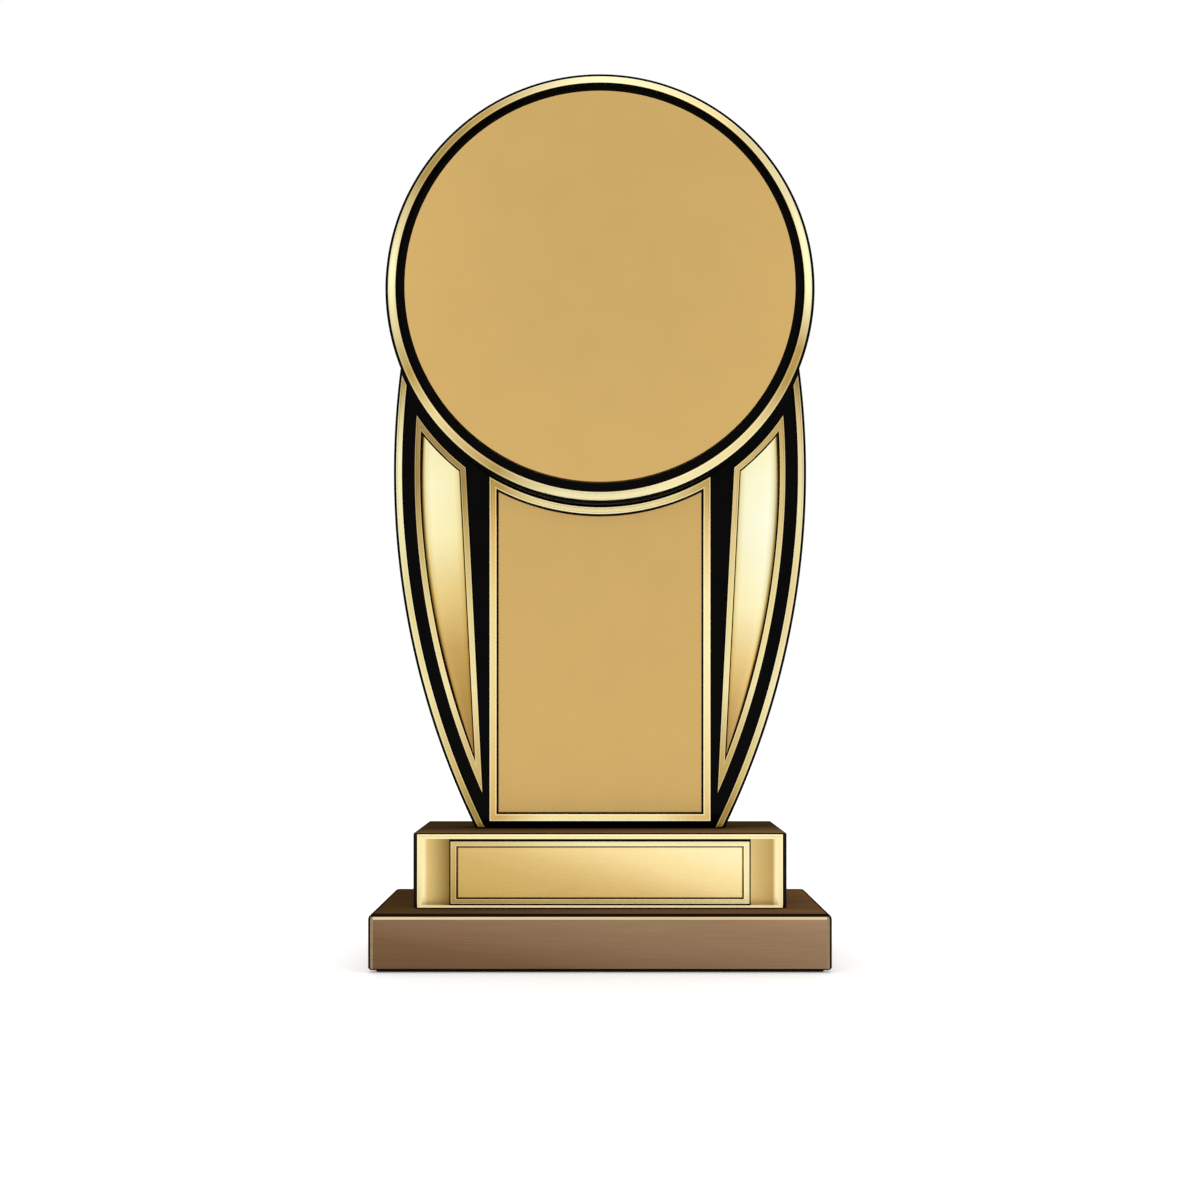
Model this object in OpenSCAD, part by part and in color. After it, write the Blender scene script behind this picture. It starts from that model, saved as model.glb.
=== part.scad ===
// Presentation trophy: a round medallion on a tapered upright, standing on a two-step plinth.
// Sizes are in millimetres. The front faces -Y, +Z is up, and the origin is the middle of the footprint.

/* [Lower step] */
// Width of the lower step
lower_w = 150; // [132:1:190]
// Depth of the lower step
lower_d = 78; // [74:1:110]
// Height of the lower step's block
lower_h = 18; // [14:0.5:26]
// Bevel along the lower step's edges
lower_bevel = 1.2; // [0.4:0.1:2]
// Thickness of the felt under the lower step
felt_t = 1; // [0.6:0.1:2]
// Distance from the lower step's sides in to the felt
felt_inset = 2.5; // [1.5:0.1:5]

/* [Upper step] */
// Width of the upper step
upper_w = 124; // [122:1:150]
// Depth of the upper step
upper_d = 56; // [46:1:60]
// Height of the upper step
upper_h = 25; // [21:0.5:34]
// Bevel along the upper step's edges
upper_bevel = 0.4; // [0.2:0.1:1]
// Depth of the ledge in front of the upper step
front_ledge = 17; // [6:0.5:17]

/* [Fascia] */
// Distance from the upper step's sides in to the fascia
fascia_side = 1.5; // [0.5:0.1:4]
// Thickness of the fascia's field
fascia_t = 1.2; // [0.8:0.1:2]
// Width of the fascia's raised rim
fascia_rim_w = 1.5; // [0.8:0.1:2]
// Width of the rim along the fascia's foot
fascia_foot_w = 0.7; // [0.6:0.1:2]
// Height of the rim above the field
fascia_rim_h = 0.8; // [0.4:0.1:1.5]
// Depth of the hollow flute at each end of the fascia
flute_depth = 0.7; // [0.2:0.1:0.7]

/* [Nameplate] */
// Width of the nameplate's frame
name_w = 98.8; // [80:0.5:102]
// Height of the nameplate's frame
name_h = 20.6; // [16:0.2:21.4]
// Distance of the nameplate's centre below the fascia's
name_drop = 0.5; // [0:0.1:0.5]
// Width of the frame's upright rails
name_rail = 1.9; // [1.8:0.1:3]
// Width of the frame's upper and lower rails
name_rail_z = 1.6; // [1.2:0.1:3]
// Thickness of the frame
name_frame_t = 1.4; // [1:0.1:2.5]
// Thickness of the nameplate
nameplate_t = 1; // [0.6:0.1:2]
// Width of the line between the frame and the nameplate
name_line = 0.35; // [0.2:0.05:0.8]

/* [Upright board] */
// Height of the upright's widest place above the plinth
belly_rise = 122; // [105:1:135]
// Thickness of the upright
body_t = 16; // [14:0.5:22]
// Bevel along the upright's curved edges
body_bevel = 0.6; // [0.2:0.1:1.2]
// Distance from the disc's top down to the upright's rounded head behind it
head_drop = 12; // [6:0.5:20]
// How much the head's radius is larger than half the upright's width
head_spread = 9; // [6:0.5:30]
// Width of the tenon under the upright
tenon_w = 70; // [64:1:78]
// Thickness of the tenon
tenon_t = 12; // [11:0.5:13]
// Length of the tenon
tenon_h = 5; // [3:0.5:8]

/* [Edge trims] */
// Black margin outside each edge trim
trim_margin = 1; // [0.8:0.1:2]
// Width of the edge trims
trim_w = 2; // [1.6:0.1:3]
// Height of the edge trims above the upright
trim_h = 1.5; // [0.8:0.1:2.5]
// Distance from the plinth up to the foot of each trim
trim_foot = 0.5; // [0.2:0.1:2]

/* [Side panels] */
// Width of each side frame where the upright is widest
side_w = 17.6; // [14:0.2:24]
// Black band between an edge trim and a side frame
side_band = 4.3; // [3:0.1:6]
// Black gap between the side frame and the centre frame, at the centre frame's foot
side_gap = 2; // [1.5:0.1:4]
// Lean of the side frame's straight rail away from the centre
side_lean = 2.9; // [1:0.1:4]
// Clear distance between the disc and the side frames' upper ends
side_disc_gap = 2.6; // [1:0.1:6]
// Width of the side frames' rails
side_rail = 1.9; // [1.6:0.1:2.6]
// Thickness of the side frames
side_frame_t = 1.6; // [1:0.1:2.5]
// Width of the black line between a side frame and its panel
side_line = 0.45; // [0.2:0.05:1]
// Height of a side panel at its edges
panel_edge_t = 0.8; // [0.5:0.1:1.5]
// Height of a side panel at its crown
panel_crown_t = 2; // [1.2:0.1:3]
// Distance from a side panel's outer edge in to its crown
panel_crown_in = 3.2; // [2:0.1:5]

/* [Centre plate] */
// Width of the centre frame
centre_w = 75.6; // [66:0.2:77]
// Black band between an edge trim and the centre frame, at the upright's foot
centre_band = 1.9; // [1.2:0.1:4]
// Distance from the plinth up to the centre frame
centre_foot = 2.6; // [1:0.1:8]
// Width of the centre frame's rails
centre_rail = 2.4; // [1.8:0.1:4]
// Thickness of the centre frame
centre_frame_t = 1.8; // [1:0.1:3]
// Width of the black line between the centre frame and its plate
centre_line = 0.6; // [0.2:0.05:1.2]
// Thickness of the centre plate
centre_plate_t = 1; // [0.6:0.1:1.6]

/* [Disc] */
// Radius of the round board
disc_r = 72.7; // [70:0.1:80]
// Height of the disc's centre above the plinth
disc_rise = 183.3; // [176:0.1:200]
// Thickness of the round board
disc_t = 8; // [6:0.5:12]
// Bevel along the round board's edges
disc_bevel = 0.5; // [0.2:0.1:1.2]
// Black margin outside the gold ring
ring_margin = 0.85; // [0.6:0.05:2]
// Width of the gold ring
ring_w = 2.7; // [2:0.1:4]
// Height of the gold ring above the board
ring_h = 2.4; // [1.5:0.1:4]
// Width of the black band between the ring and the medallion
medal_band = 3.2; // [1:0.1:6]
// Thickness of the medallion
medal_t = 4; // [2:0.1:6]
// Bevel round the medallion's face
medal_bevel = 0.5; // [0.2:0.1:1]

/* [Fasteners] */
// Distance of each upright bolt from the centre
bolt_x = 25; // [15:0.5:28]
// Diameter of the upright bolts
bolt_dia = 5; // [4:0.5:5]
// Length of the upright bolts under the head
bolt_len = 40; // [38:1:41]
// Depth of the bolt heads' counterbores
bolt_sink = 8; // [7:0.5:9]
// Wall of the threaded inserts
insert_wall = 0.8; // [0.6:0.1:1.5]
// Length of the threaded inserts
insert_len = 12; // [10:0.5:14]
// Distance of each plinth screw from the centre
screw_x = 50; // [40:0.5:56]
// Distance between the front and rear plinth screws
screw_pitch = 36; // [30:0.5:36]
// Diameter of the plinth screws
screw_dia = 4; // [3:0.5:5]
// Length of the plinth screws
screw_len = 30; // [26:1:34]
// Radius of the circle that the medallion's studs lie on
stud_circle_r = 40; // [30:0.5:46]
// Diameter of the medallion's studs
stud_dia = 4; // [3:0.5:5]
// Depth of the pockets for the medallion's nuts
nut_sink = 5.5; // [5:0.5:7]
// Length of the pins behind the trims and plates
pin_len = 5; // [3:0.5:6]

/* [Fits] */
// Clearance round pins, tenon and inserts
fit = 0.05; // [0.02:0.01:0.1]
// Clearance round bolts and studs
bolt_clear = 0.25; // [0.1:0.05:0.5]
// Spare depth at the end of a blind hole
end_clear = 0.5; // [0.3:0.1:1]
// Clearance between pieces that lie edge to edge
edge_clear = 0.4; // [0.2:0.05:0.8]

/* [Hidden] */
$fn = 96;

// Colours
black = "#0d0b08";
gold = "#d8bd7a";
satin_gold = "#d1ae6c";
brown = "#7a5c42";
felt = "#23201c";
steel = "#b9bcc0";
brass = "#b5925a";

// Overlap that joins two shapes of one solid, and overrun of a cut past a face
lap = 0.2;

// Levels, upwards from the table
lower_top = felt_t + lower_h;
plinth_top = lower_top + upper_h;
belly_z = plinth_top + belly_rise;
disc_z = plinth_top + disc_rise;
centre_z = plinth_top + centre_foot;
fascia_z = lower_top + upper_h / 2;
name_z = fascia_z - name_drop;

// Depths, from the back of each piece; the front faces -Y
upper_front = front_ledge - lower_d / 2;
upper_mid = upper_front + upper_d / 2;
body_front = upper_mid - body_t / 2;
body_back = upper_mid + body_t / 2;
disc_front = body_front - disc_t;
fascia_front = upper_front - fascia_t;

// The upright's width, from the frames and bands that it carries; its sides are arcs through foot and belly
edge_w = trim_margin + trim_w;
foot_w = centre_w + 2 * (centre_band + edge_w);
body_w = 2 * (rail_x(belly_z) + side_w + side_band + edge_w);
side_r = (pow(belly_rise, 2) + pow((body_w - foot_w) / 2, 2)) / (body_w - foot_w);
side_x = body_w / 2 - side_r;
head_r = body_w / 2 + head_spread;
head_z = disc_z + disc_r - head_drop - head_r;

// Radii about the side arc's centre, and about the disc's centre
trim_r = side_r - trim_margin;
side_frame_r = trim_r - trim_w - side_band;
side_top_r = disc_r + side_disc_gap;
centre_top_r = disc_r + edge_clear;
ring_r = disc_r - ring_margin;
medal_r = ring_r - ring_w - medal_band;

// Pins behind the trims and plates, by size, and their distance from an end
fine_pin_r = 0.6;
pin_r = 0.8;
plate_pin_r = 1.5;
pin_end = 12;

// Fastener details
bolt_head_r = bolt_dia * 0.85;
washer_t = 1;
washer_r = bolt_dia * 1.1;
bolt_seat_z = felt_t + bolt_sink;
insert_r = bolt_dia / 2 + insert_wall;
screw_head_r = screw_dia * 0.95;
stud_washer_t = 0.8;
stud_washer_r = stud_dia * 1.1;
nut_r = stud_dia * 1.01;
nut_h = stud_dia * 0.8;
nut_pocket_r = stud_washer_r + 1;
stud_angles = [90, 210, 330];
ring_pin_count = 6;

// Height at which the disc's edge covers a vertical line at x
function covered_z(x) = disc_z - sqrt(pow(disc_r, 2) - pow(min(x, disc_r), 2));

// Half width of the shape inside an arc of radius r about the side arc's centre, at height z
function arc_x(r, z) = side_x + sqrt(r * r - pow(z - belly_z, 2));

// The side frame's straight rail: its outer edge at height z
function rail_x(z) = centre_w / 2 + side_gap + (z - centre_z) * tan(side_lean);

// A point on a side arc, on the right-hand side
function on_arc(r, angle) = [side_x + r * cos(angle), belly_z + r * sin(angle)];

// A point at a radius and an angle about the disc's centre
function round_disc(r, angle) = [r * cos(angle), disc_z + r * sin(angle)];

// Where the pins go, in front view: near the two ends of each trim and rail, and between them
trim_low = asin((plinth_top + trim_foot + pin_end - belly_z) / trim_r);
trim_high = asin((covered_z(body_w / 2 - edge_w) - pin_end - belly_z) / trim_r);
trim_pins = [for (s = [0, 0.5, 1]) on_arc(trim_r - trim_w / 2, trim_low * (1 - s) + trim_high * s)];
rail_low = plinth_top + belly_rise * 0.35;
rail_high = covered_z(rail_x(belly_z)) - side_disc_gap - pin_end;
side_frame_pins = [
    [rail_x(rail_low) + side_rail / 2, rail_low],
    [rail_x(rail_high) + side_rail / 2, rail_high],
    on_arc(side_frame_r - side_rail / 2, asin((rail_high - belly_z) / side_frame_r)),
];
side_panel_pins = [
    for (z = [(rail_low + rail_high) / 2, rail_high - side_rail])
        [(rail_x(z) + arc_x(side_frame_r, z)) / 2, z],
];
centre_frame_pins = [
    for (side = [-1, 1], z = [centre_z + pin_end, rail_high]) [side * (centre_w - centre_rail) / 2, z],
];
centre_plate_pins = [
    for (side = [-1, 1], z = [centre_z + 2 * pin_end, rail_high - pin_end])
        [side * (centre_w / 2 - pin_end), z],
];
name_frame_pins = [
    for (side = [-1, 1], rise = [-1, 1])
        [side * (name_w - name_rail) / 2, name_z + rise * (name_h / 2 - 5)],
];
fascia_pins = [for (side = [-1, 1]) [side * (name_w / 2 - pin_end), fascia_z]];
ring_pins = [for (i = [0 : ring_pin_count - 1]) round_disc(ring_r - ring_w / 2, i * 360 / ring_pin_count)];
medal_studs = [for (angle = stud_angles) round_disc(stud_circle_r, angle)];

// Turns a front-view shape upright, with its back at depth y; what was up now faces forwards
module forward(y) {
    translate([0, y, 0])
        rotate([90, 0, 0])
            children();
}

// A turned shape whose axis runs through x, z; its profile is [radius, height forwards]
module turned(x, z, profile) {
    translate([x, z, 0])
        rotate_extrude($fn = 180)
            polygon(profile);
}

// Profile of a disc with bevelled rims
function rim_profile(r, t, bevel) = [
    [0, 0], [r - bevel, 0], [r, bevel], [r, t - bevel], [r - bevel, t], [0, t],
];

// Profile of a raised moulding with a bevel to each side of its crest
function crest_profile(r_out, w, h) = [
    [r_out - w, 0], [r_out, 0], [r_out, h * 0.45],
    [r_out - w * 0.3, h], [r_out - w * 0.7, h], [r_out - w, h * 0.45],
];

// Profile of the ring: its crest lies inside, and it slopes down to its outer edge
function slope_profile(r_out, w, h) = [
    [r_out - w, 0], [r_out, 0], [r_out, h * 0.25],
    [r_out - w * 0.9, h], [r_out - w, h * 0.95],
];

// Pins behind a piece that lies on a face; local z is forwards
module pins(points, r) {
    for (p = points)
        translate([p[0], p[1], -pin_len])
            cylinder(r = r, h = pin_len + lap);
}

// The blind holes that take those pins
module pin_holes(points, r) {
    for (p = points)
        translate([p[0], p[1], -pin_len - end_clear])
            cylinder(r = r + fit, h = pin_len + end_clear + lap);
}

// A block centred on x, from front to front + d and from z = bottom up, bevelled along every edge
module bevelled_block(w, d, h, front, bottom, bevel) {
    translate([-w / 2, front, bottom])
        intersection() {
            linear_extrude(h) bevelled_rectangle(w, d, bevel);
            translate([0, d, 0]) rotate([90, 0, 0]) linear_extrude(d) bevelled_rectangle(w, h, bevel);
            rotate([90, 0, 90]) linear_extrude(w) bevelled_rectangle(d, h, bevel);
        }
}

module bevelled_rectangle(a, b, bevel) {
    polygon([
        [bevel, 0], [a - bevel, 0], [a, bevel], [a, b - bevel],
        [a - bevel, b], [bevel, b], [0, b - bevel], [0, bevel],
    ]);
}

// Places a child at each upright bolt, and at each plinth screw, in plan
module at_bolts() {
    for (side = [-1, 1])
        translate([side * bolt_x, upper_mid, 0])
            children();
}

module at_screws() {
    for (side = [-1, 1], end = [-1, 1])
        translate([side * screw_x, upper_mid + end * screw_pitch / 2, 0])
            children();
}

// Felt glued under the lower step; it covers the bolt and screw heads
module base_felt() {
    color(felt)
        translate([0, 0, felt_t / 2])
            cube([lower_w - 2 * felt_inset, lower_d - 2 * felt_inset, felt_t], center = true);
}

// Lower step: counterbored for the upright's bolts and countersunk for the plinth screws
module base_lower() {
    color(brown)
        difference() {
            bevelled_block(lower_w, lower_d, lower_h, -lower_d / 2, felt_t, lower_bevel);
            at_bolts() {
                translate([0, 0, -lap]) cylinder(r = washer_r + bolt_clear, h = bolt_seat_z + lap);
                cylinder(r = bolt_dia / 2 + bolt_clear, h = lower_top + lap);
            }
            at_screws() {
                translate([0, 0, felt_t])
                    cylinder(r1 = screw_head_r, r2 = screw_dia / 2 + fit, h = screw_head_r - screw_dia / 2);
                cylinder(r = screw_dia / 2 + fit, h = lower_top + lap);
            }
        }
}

// Upper step: mortised for the upright's tenon, with holes for bolts, screws and pins
module base_upper() {
    mortise = [tenon_w + 2 * fit, tenon_t + 2 * fit, tenon_h + end_clear];
    color(brown)
        difference() {
            bevelled_block(upper_w, upper_d, upper_h, upper_front, lower_top, upper_bevel);
            translate([-mortise[0] / 2, upper_mid - mortise[1] / 2, plinth_top - mortise[2]])
                cube([mortise[0], mortise[1], mortise[2] + lap]);
            at_bolts()
                translate([0, 0, lower_top - lap]) cylinder(r = bolt_dia / 2 + bolt_clear, h = upper_h);
            at_screws()
                translate([0, 0, lower_top - lap])
                    cylinder(r = screw_dia / 2 + fit, h = screw_len - lower_h + end_clear + lap);
            forward(upper_front) {
                pin_holes(name_frame_pins, pin_r);
                pin_holes(fascia_pins, plate_pin_r);
            }
        }
}

// Countersunk screws that pull the two steps together
module base_screws() {
    color(steel)
        at_screws()
            translate([0, 0, felt_t])
                rotate_extrude($fn = 48)
                    polygon([
                        [0, 0], [screw_head_r - fit, 0], [screw_dia / 2, screw_head_r - screw_dia / 2],
                        [screw_dia / 2, screw_len - screw_dia], [0, screw_len],
                    ]);
}

// Gold fascia: a field with a raised rim, a flute at each end, and two pins behind it
module fascia() {
    w = upper_w - 2 * fascia_side;
    h = upper_h - 2 * upper_bevel;
    inner_w = w - 2 * fascia_rim_w;
    inner_h = h - fascia_rim_w - fascia_foot_w;
    inner_z = fascia_z - h / 2 + fascia_foot_w;
    flute_w = (inner_w - name_w) / 2 - edge_clear;
    flute_r = (pow(flute_w / 2, 2) + pow(flute_depth, 2)) / (2 * flute_depth);
    color(gold)
        forward(upper_front) {
            difference() {
                translate([0, fascia_z, (fascia_t + fascia_rim_h) / 2])
                    cube([w, h, fascia_t + fascia_rim_h], center = true);
                translate([-inner_w / 2, inner_z, fascia_t])
                    cube([inner_w, inner_h, fascia_rim_h + lap]);
                for (side = [-1, 1])
                    translate([side * (inner_w - flute_w) / 2, inner_z, fascia_t - flute_depth + flute_r])
                        rotate([-90, 0, 0])
                            cylinder(r = flute_r, h = inner_h);
                for (p = name_frame_pins)
                    translate([p[0], p[1], -lap])
                        cylinder(r = pin_r + fit, h = fascia_t + 2 * lap);
            }
            pins(fascia_pins, plate_pin_r);
        }
}

// A rectangular outline about the nameplate's centre; inset is measured across the upright rails
module name_outline(inset) {
    translate([0, name_z])
        square([name_w - 2 * inset, name_h - 2 * inset * name_rail_z / name_rail], center = true);
}

// Stepped frame round the nameplate; its pins run through the fascia into the upper step
module nameplate_frame() {
    step = name_rail / 4;
    color(gold)
        forward(fascia_front)
            difference() {
                union() {
                    linear_extrude(name_frame_t / 2) name_outline(0);
                    linear_extrude(name_frame_t) name_outline(step);
                    for (p = name_frame_pins)
                        translate([p[0], p[1], -fascia_t - pin_len])
                            cylinder(r = pin_r, h = fascia_t + pin_len + lap);
                }
                translate([0, 0, -lap]) linear_extrude(name_frame_t + 2 * lap) name_outline(name_rail);
            }
}

// Blank nameplate, laid on the fascia inside its frame
module nameplate() {
    color(gold)
        forward(fascia_front)
            linear_extrude(nameplate_t) name_outline(name_rail + name_line);
}

// The upright: two side arcs, and a rounded head that hides behind the disc
module upright_solid() {
    margin = body_w;
    intersection() {
        turned(side_x, belly_z, rim_profile(side_r, body_t, body_bevel));
        turned(-side_x, belly_z, rim_profile(side_r, body_t, body_bevel));
        union() {
            translate([-margin, plinth_top, 0]) cube([2 * margin, head_z - plinth_top, body_t]);
            turned(0, head_z, rim_profile(head_r, body_t, body_bevel));
        }
    }
}

// Black upright board with its tenon, drilled for inserts, studs and pins
module body_board() {
    color(black)
        difference() {
            union() {
                forward(body_back) upright_solid();
                translate([-tenon_w / 2, upper_mid - tenon_t / 2, plinth_top - tenon_h])
                    cube([tenon_w, tenon_t, tenon_h + lap]);
            }
            at_bolts()
                translate([0, 0, plinth_top - tenon_h - lap])
                    cylinder(r = insert_r + fit, h = insert_len + end_clear + lap);
            forward(body_front) {
                for (side = [0, 1])
                    mirror([side, 0, 0]) {
                        pin_holes(trim_pins, pin_r);
                        pin_holes(side_frame_pins, fine_pin_r);
                        pin_holes(side_panel_pins, plate_pin_r);
                    }
                pin_holes(centre_frame_pins, pin_r);
                pin_holes(centre_plate_pins, plate_pin_r);
            }
            forward(body_back)
                for (p = medal_studs)
                    translate([p[0], p[1], -lap]) {
                        cylinder(r = nut_pocket_r, h = nut_sink + lap);
                        cylinder(r = stud_dia / 2 + bolt_clear, h = body_t + 2 * lap);
                    }
        }
}

// Socket-head bolts that hold the upright from below
module body_bolts() {
    head_h = bolt_dia;
    color(steel)
        at_bolts()
            translate([0, 0, bolt_seat_z - washer_t])
                difference() {
                    union() {
                        translate([0, 0, -head_h]) cylinder(r = bolt_head_r, h = head_h, $fn = 48);
                        cylinder(r = bolt_dia / 2, h = bolt_len, $fn = 48);
                    }
                    translate([0, 0, -head_h - lap])
                        cylinder(r = bolt_dia * 0.46, h = head_h / 2 + lap, $fn = 6);
                }
}

module body_washers() {
    color(steel)
        at_bolts()
            translate([0, 0, bolt_seat_z - washer_t])
                difference() {
                    cylinder(r = washer_r, h = washer_t, $fn = 48);
                    translate([0, 0, -lap])
                        cylinder(r = bolt_dia / 2 + bolt_clear, h = washer_t + 2 * lap, $fn = 48);
                }
}

// Threaded inserts pressed into the upright's foot
module body_inserts() {
    color(brass)
        at_bolts()
            translate([0, 0, plinth_top - tenon_h])
                difference() {
                    cylinder(r = insert_r, h = insert_len, $fn = 48);
                    translate([0, 0, -lap])
                        cylinder(r = bolt_dia / 2 + fit, h = insert_len + 2 * lap, $fn = 48);
                }
}

// Gold moulding along one edge of the upright; it ends just clear of the plinth and the disc
module edge_trim_right() {
    reach = body_w;
    color(gold)
        forward(body_front) {
            difference() {
                intersection() {
                    turned(side_x, belly_z, crest_profile(trim_r, trim_w, trim_h));
                    translate([0, plinth_top + trim_foot, -lap])
                        cube([reach, disc_z - plinth_top - trim_foot, trim_h + 2 * lap]);
                }
                translate([0, disc_z, -lap])
                    cylinder(r = disc_r + edge_clear, h = trim_h + 2 * lap, $fn = 180);
            }
            pins(trim_pins, pin_r);
        }
}

module edge_trim_left() {
    mirror([1, 0, 0]) edge_trim_right();
}

// Side frame's outline: an arc outside, the disc's curve above, and a leaning straight edge inside
module side_outline(inset) {
    low = plinth_top;
    high = disc_z;
    shift = inset / cos(side_lean);
    difference() {
        intersection() {
            translate([side_x, belly_z]) circle(r = side_frame_r - inset, $fn = 180);
            polygon([
                [rail_x(low) + shift, low], [rail_x(low) + body_w, low],
                [rail_x(high) + body_w, high], [rail_x(high) + shift, high],
            ]);
        }
        translate([0, disc_z]) circle(r = side_top_r + inset, $fn = 180);
    }
}

// Stepped gold frame round a side panel
module side_frame_right() {
    step = side_rail / 4;
    color(gold)
        forward(body_front) {
            difference() {
                union() {
                    linear_extrude(side_frame_t / 2) side_outline(0);
                    linear_extrude(side_frame_t) side_outline(step);
                }
                translate([0, 0, -lap]) linear_extrude(side_frame_t + 2 * lap) side_outline(side_rail);
            }
            pins(side_frame_pins, fine_pin_r);
        }
}

module side_frame_left() {
    mirror([1, 0, 0]) side_frame_right();
}

// Crowned gold panel: it rises steeply from its outer edge and falls gently to its straight edge
module side_panel_right() {
    inset = side_rail + side_line;
    outer = side_frame_r - inset;
    far_in = body_w / 3;
    color(gold)
        forward(body_front) {
            intersection() {
                linear_extrude(panel_crown_t + lap) side_outline(inset);
                turned(side_x, belly_z, [
                    [outer - far_in, 0], [outer + lap, 0], [outer + lap, panel_edge_t],
                    [outer, panel_edge_t], [outer - panel_crown_in, panel_crown_t],
                    [outer - far_in, panel_edge_t],
                ]);
            }
            pins(side_panel_pins, plate_pin_r);
        }
}

module side_panel_left() {
    mirror([1, 0, 0]) side_panel_right();
}

// Centre frame's outline: straight sides and foot, and the disc's curve above
module centre_outline(inset) {
    difference() {
        translate([-centre_w / 2 + inset, centre_z + inset])
            square([centre_w - 2 * inset, disc_z - centre_z - inset]);
        translate([0, disc_z]) circle(r = centre_top_r + inset, $fn = 180);
    }
}

// Stepped gold frame round the centre plate
module centre_frame() {
    step = centre_rail / 4;
    color(gold)
        forward(body_front) {
            difference() {
                union() {
                    linear_extrude(centre_frame_t / 2) centre_outline(0);
                    linear_extrude(centre_frame_t) centre_outline(step);
                }
                translate([0, 0, -lap])
                    linear_extrude(centre_frame_t + 2 * lap) centre_outline(centre_rail);
            }
            pins(centre_frame_pins, pin_r);
        }
}

// Blank satin plate inside the centre frame
module centre_plate() {
    color(satin_gold)
        forward(body_front) {
            linear_extrude(centre_plate_t) centre_outline(centre_rail + centre_line);
            pins(centre_plate_pins, plate_pin_r);
        }
}

// Round black board that carries the ring and the medallion
module disc_board() {
    color(black)
        difference() {
            forward(body_front) turned(0, disc_z, rim_profile(disc_r, disc_t, disc_bevel));
            forward(disc_front) pin_holes(ring_pins, pin_r);
            forward(body_front)
                for (p = medal_studs)
                    translate([p[0], p[1], -lap])
                        cylinder(r = stud_dia / 2 + bolt_clear, h = disc_t + 2 * lap);
        }
}

// Gold ring, crested inside and sloping down to its outer edge
module disc_ring() {
    color(gold)
        forward(disc_front) {
            turned(0, disc_z, slope_profile(ring_r, ring_w, ring_h));
            pins(ring_pins, pin_r);
        }
}

// Blank medallion; its three studs run through both boards
module medallion() {
    stud_len = disc_t + body_t - end_clear;
    color(satin_gold)
        forward(disc_front) {
            turned(0, disc_z, [
                [0, 0], [medal_r, 0], [medal_r, medal_t - medal_bevel],
                [medal_r - medal_bevel, medal_t], [0, medal_t],
            ]);
            for (p = medal_studs)
                translate([p[0], p[1], -stud_len])
                    cylinder(r = stud_dia / 2, h = stud_len + lap, $fn = 48);
        }
}

module medallion_washers() {
    color(steel)
        forward(body_back)
            for (p = medal_studs)
                translate([p[0], p[1], nut_sink - stud_washer_t])
                    difference() {
                        cylinder(r = stud_washer_r, h = stud_washer_t, $fn = 48);
                        translate([0, 0, -lap])
                            cylinder(r = stud_dia / 2 + bolt_clear, h = stud_washer_t + 2 * lap, $fn = 48);
                    }
}

module medallion_nuts() {
    color(steel)
        forward(body_back)
            for (p = medal_studs)
                translate([p[0], p[1], nut_sink - stud_washer_t - nut_h])
                    difference() {
                        cylinder(r = nut_r, h = nut_h, $fn = 6);
                        translate([0, 0, -lap])
                            cylinder(r = stud_dia / 2 + fit, h = nut_h + 2 * lap, $fn = 48);
                    }
}

base_felt();
base_lower();
base_upper();
base_screws();
fascia();
nameplate_frame();
nameplate();
body_board();
body_bolts();
body_washers();
body_inserts();
edge_trim_left();
edge_trim_right();
side_frame_left();
side_frame_right();
side_panel_left();
side_panel_right();
centre_frame();
centre_plate();
disc_board();
disc_ring();
medallion();
medallion_washers();
medallion_nuts();
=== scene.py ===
import math

import bmesh
import bpy
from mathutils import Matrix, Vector


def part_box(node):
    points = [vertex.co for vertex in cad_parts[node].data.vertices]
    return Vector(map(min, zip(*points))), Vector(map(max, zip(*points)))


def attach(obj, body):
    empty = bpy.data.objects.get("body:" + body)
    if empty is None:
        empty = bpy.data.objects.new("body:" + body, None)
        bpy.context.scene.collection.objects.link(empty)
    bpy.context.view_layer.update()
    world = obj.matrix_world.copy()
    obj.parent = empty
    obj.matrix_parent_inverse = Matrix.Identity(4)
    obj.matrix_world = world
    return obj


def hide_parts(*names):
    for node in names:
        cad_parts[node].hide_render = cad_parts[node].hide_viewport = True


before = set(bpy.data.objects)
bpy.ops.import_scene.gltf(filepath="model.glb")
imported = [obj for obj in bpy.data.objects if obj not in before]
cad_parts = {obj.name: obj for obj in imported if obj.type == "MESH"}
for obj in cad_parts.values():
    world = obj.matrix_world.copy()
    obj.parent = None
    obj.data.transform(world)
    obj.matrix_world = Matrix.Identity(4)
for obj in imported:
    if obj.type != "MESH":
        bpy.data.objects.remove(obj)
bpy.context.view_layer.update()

MM = 0.001

# ---- Camera -------------------------------------------------------------------------------------
# It stands close in front of the trophy and looks level, from just above the plinth, so that the
# upright's edges stay parallel. The frame is shifted up from there to take in the medallion.

eye_distance = 580 * MM
eye_height = 90 * MM
view_width = 387 * MM
view_centre = 120.4 * MM

step_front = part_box("base_lower")[0].y
camera = bpy.data.objects.new("camera", bpy.data.cameras.new("camera"))
camera.location = (0, step_front - eye_distance, eye_height)
camera.rotation_euler = (math.radians(90), 0, 0)
camera.data.sensor_width = 36
camera.data.lens = camera.data.sensor_width * eye_distance / view_width
camera.data.shift_y = (view_centre - eye_height) / view_width
camera.data.clip_start = 0.01
camera.data.clip_end = 20
bpy.context.scene.collection.objects.link(camera)
bpy.context.scene.camera = camera


# ---- Studio -------------------------------------------------------------------------------------
# A white floor that runs out of sight and a white room. Two tall soft boxes stand at the sides and
# one hangs above the front, all weak enough that a colour renders about as it is written.

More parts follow.
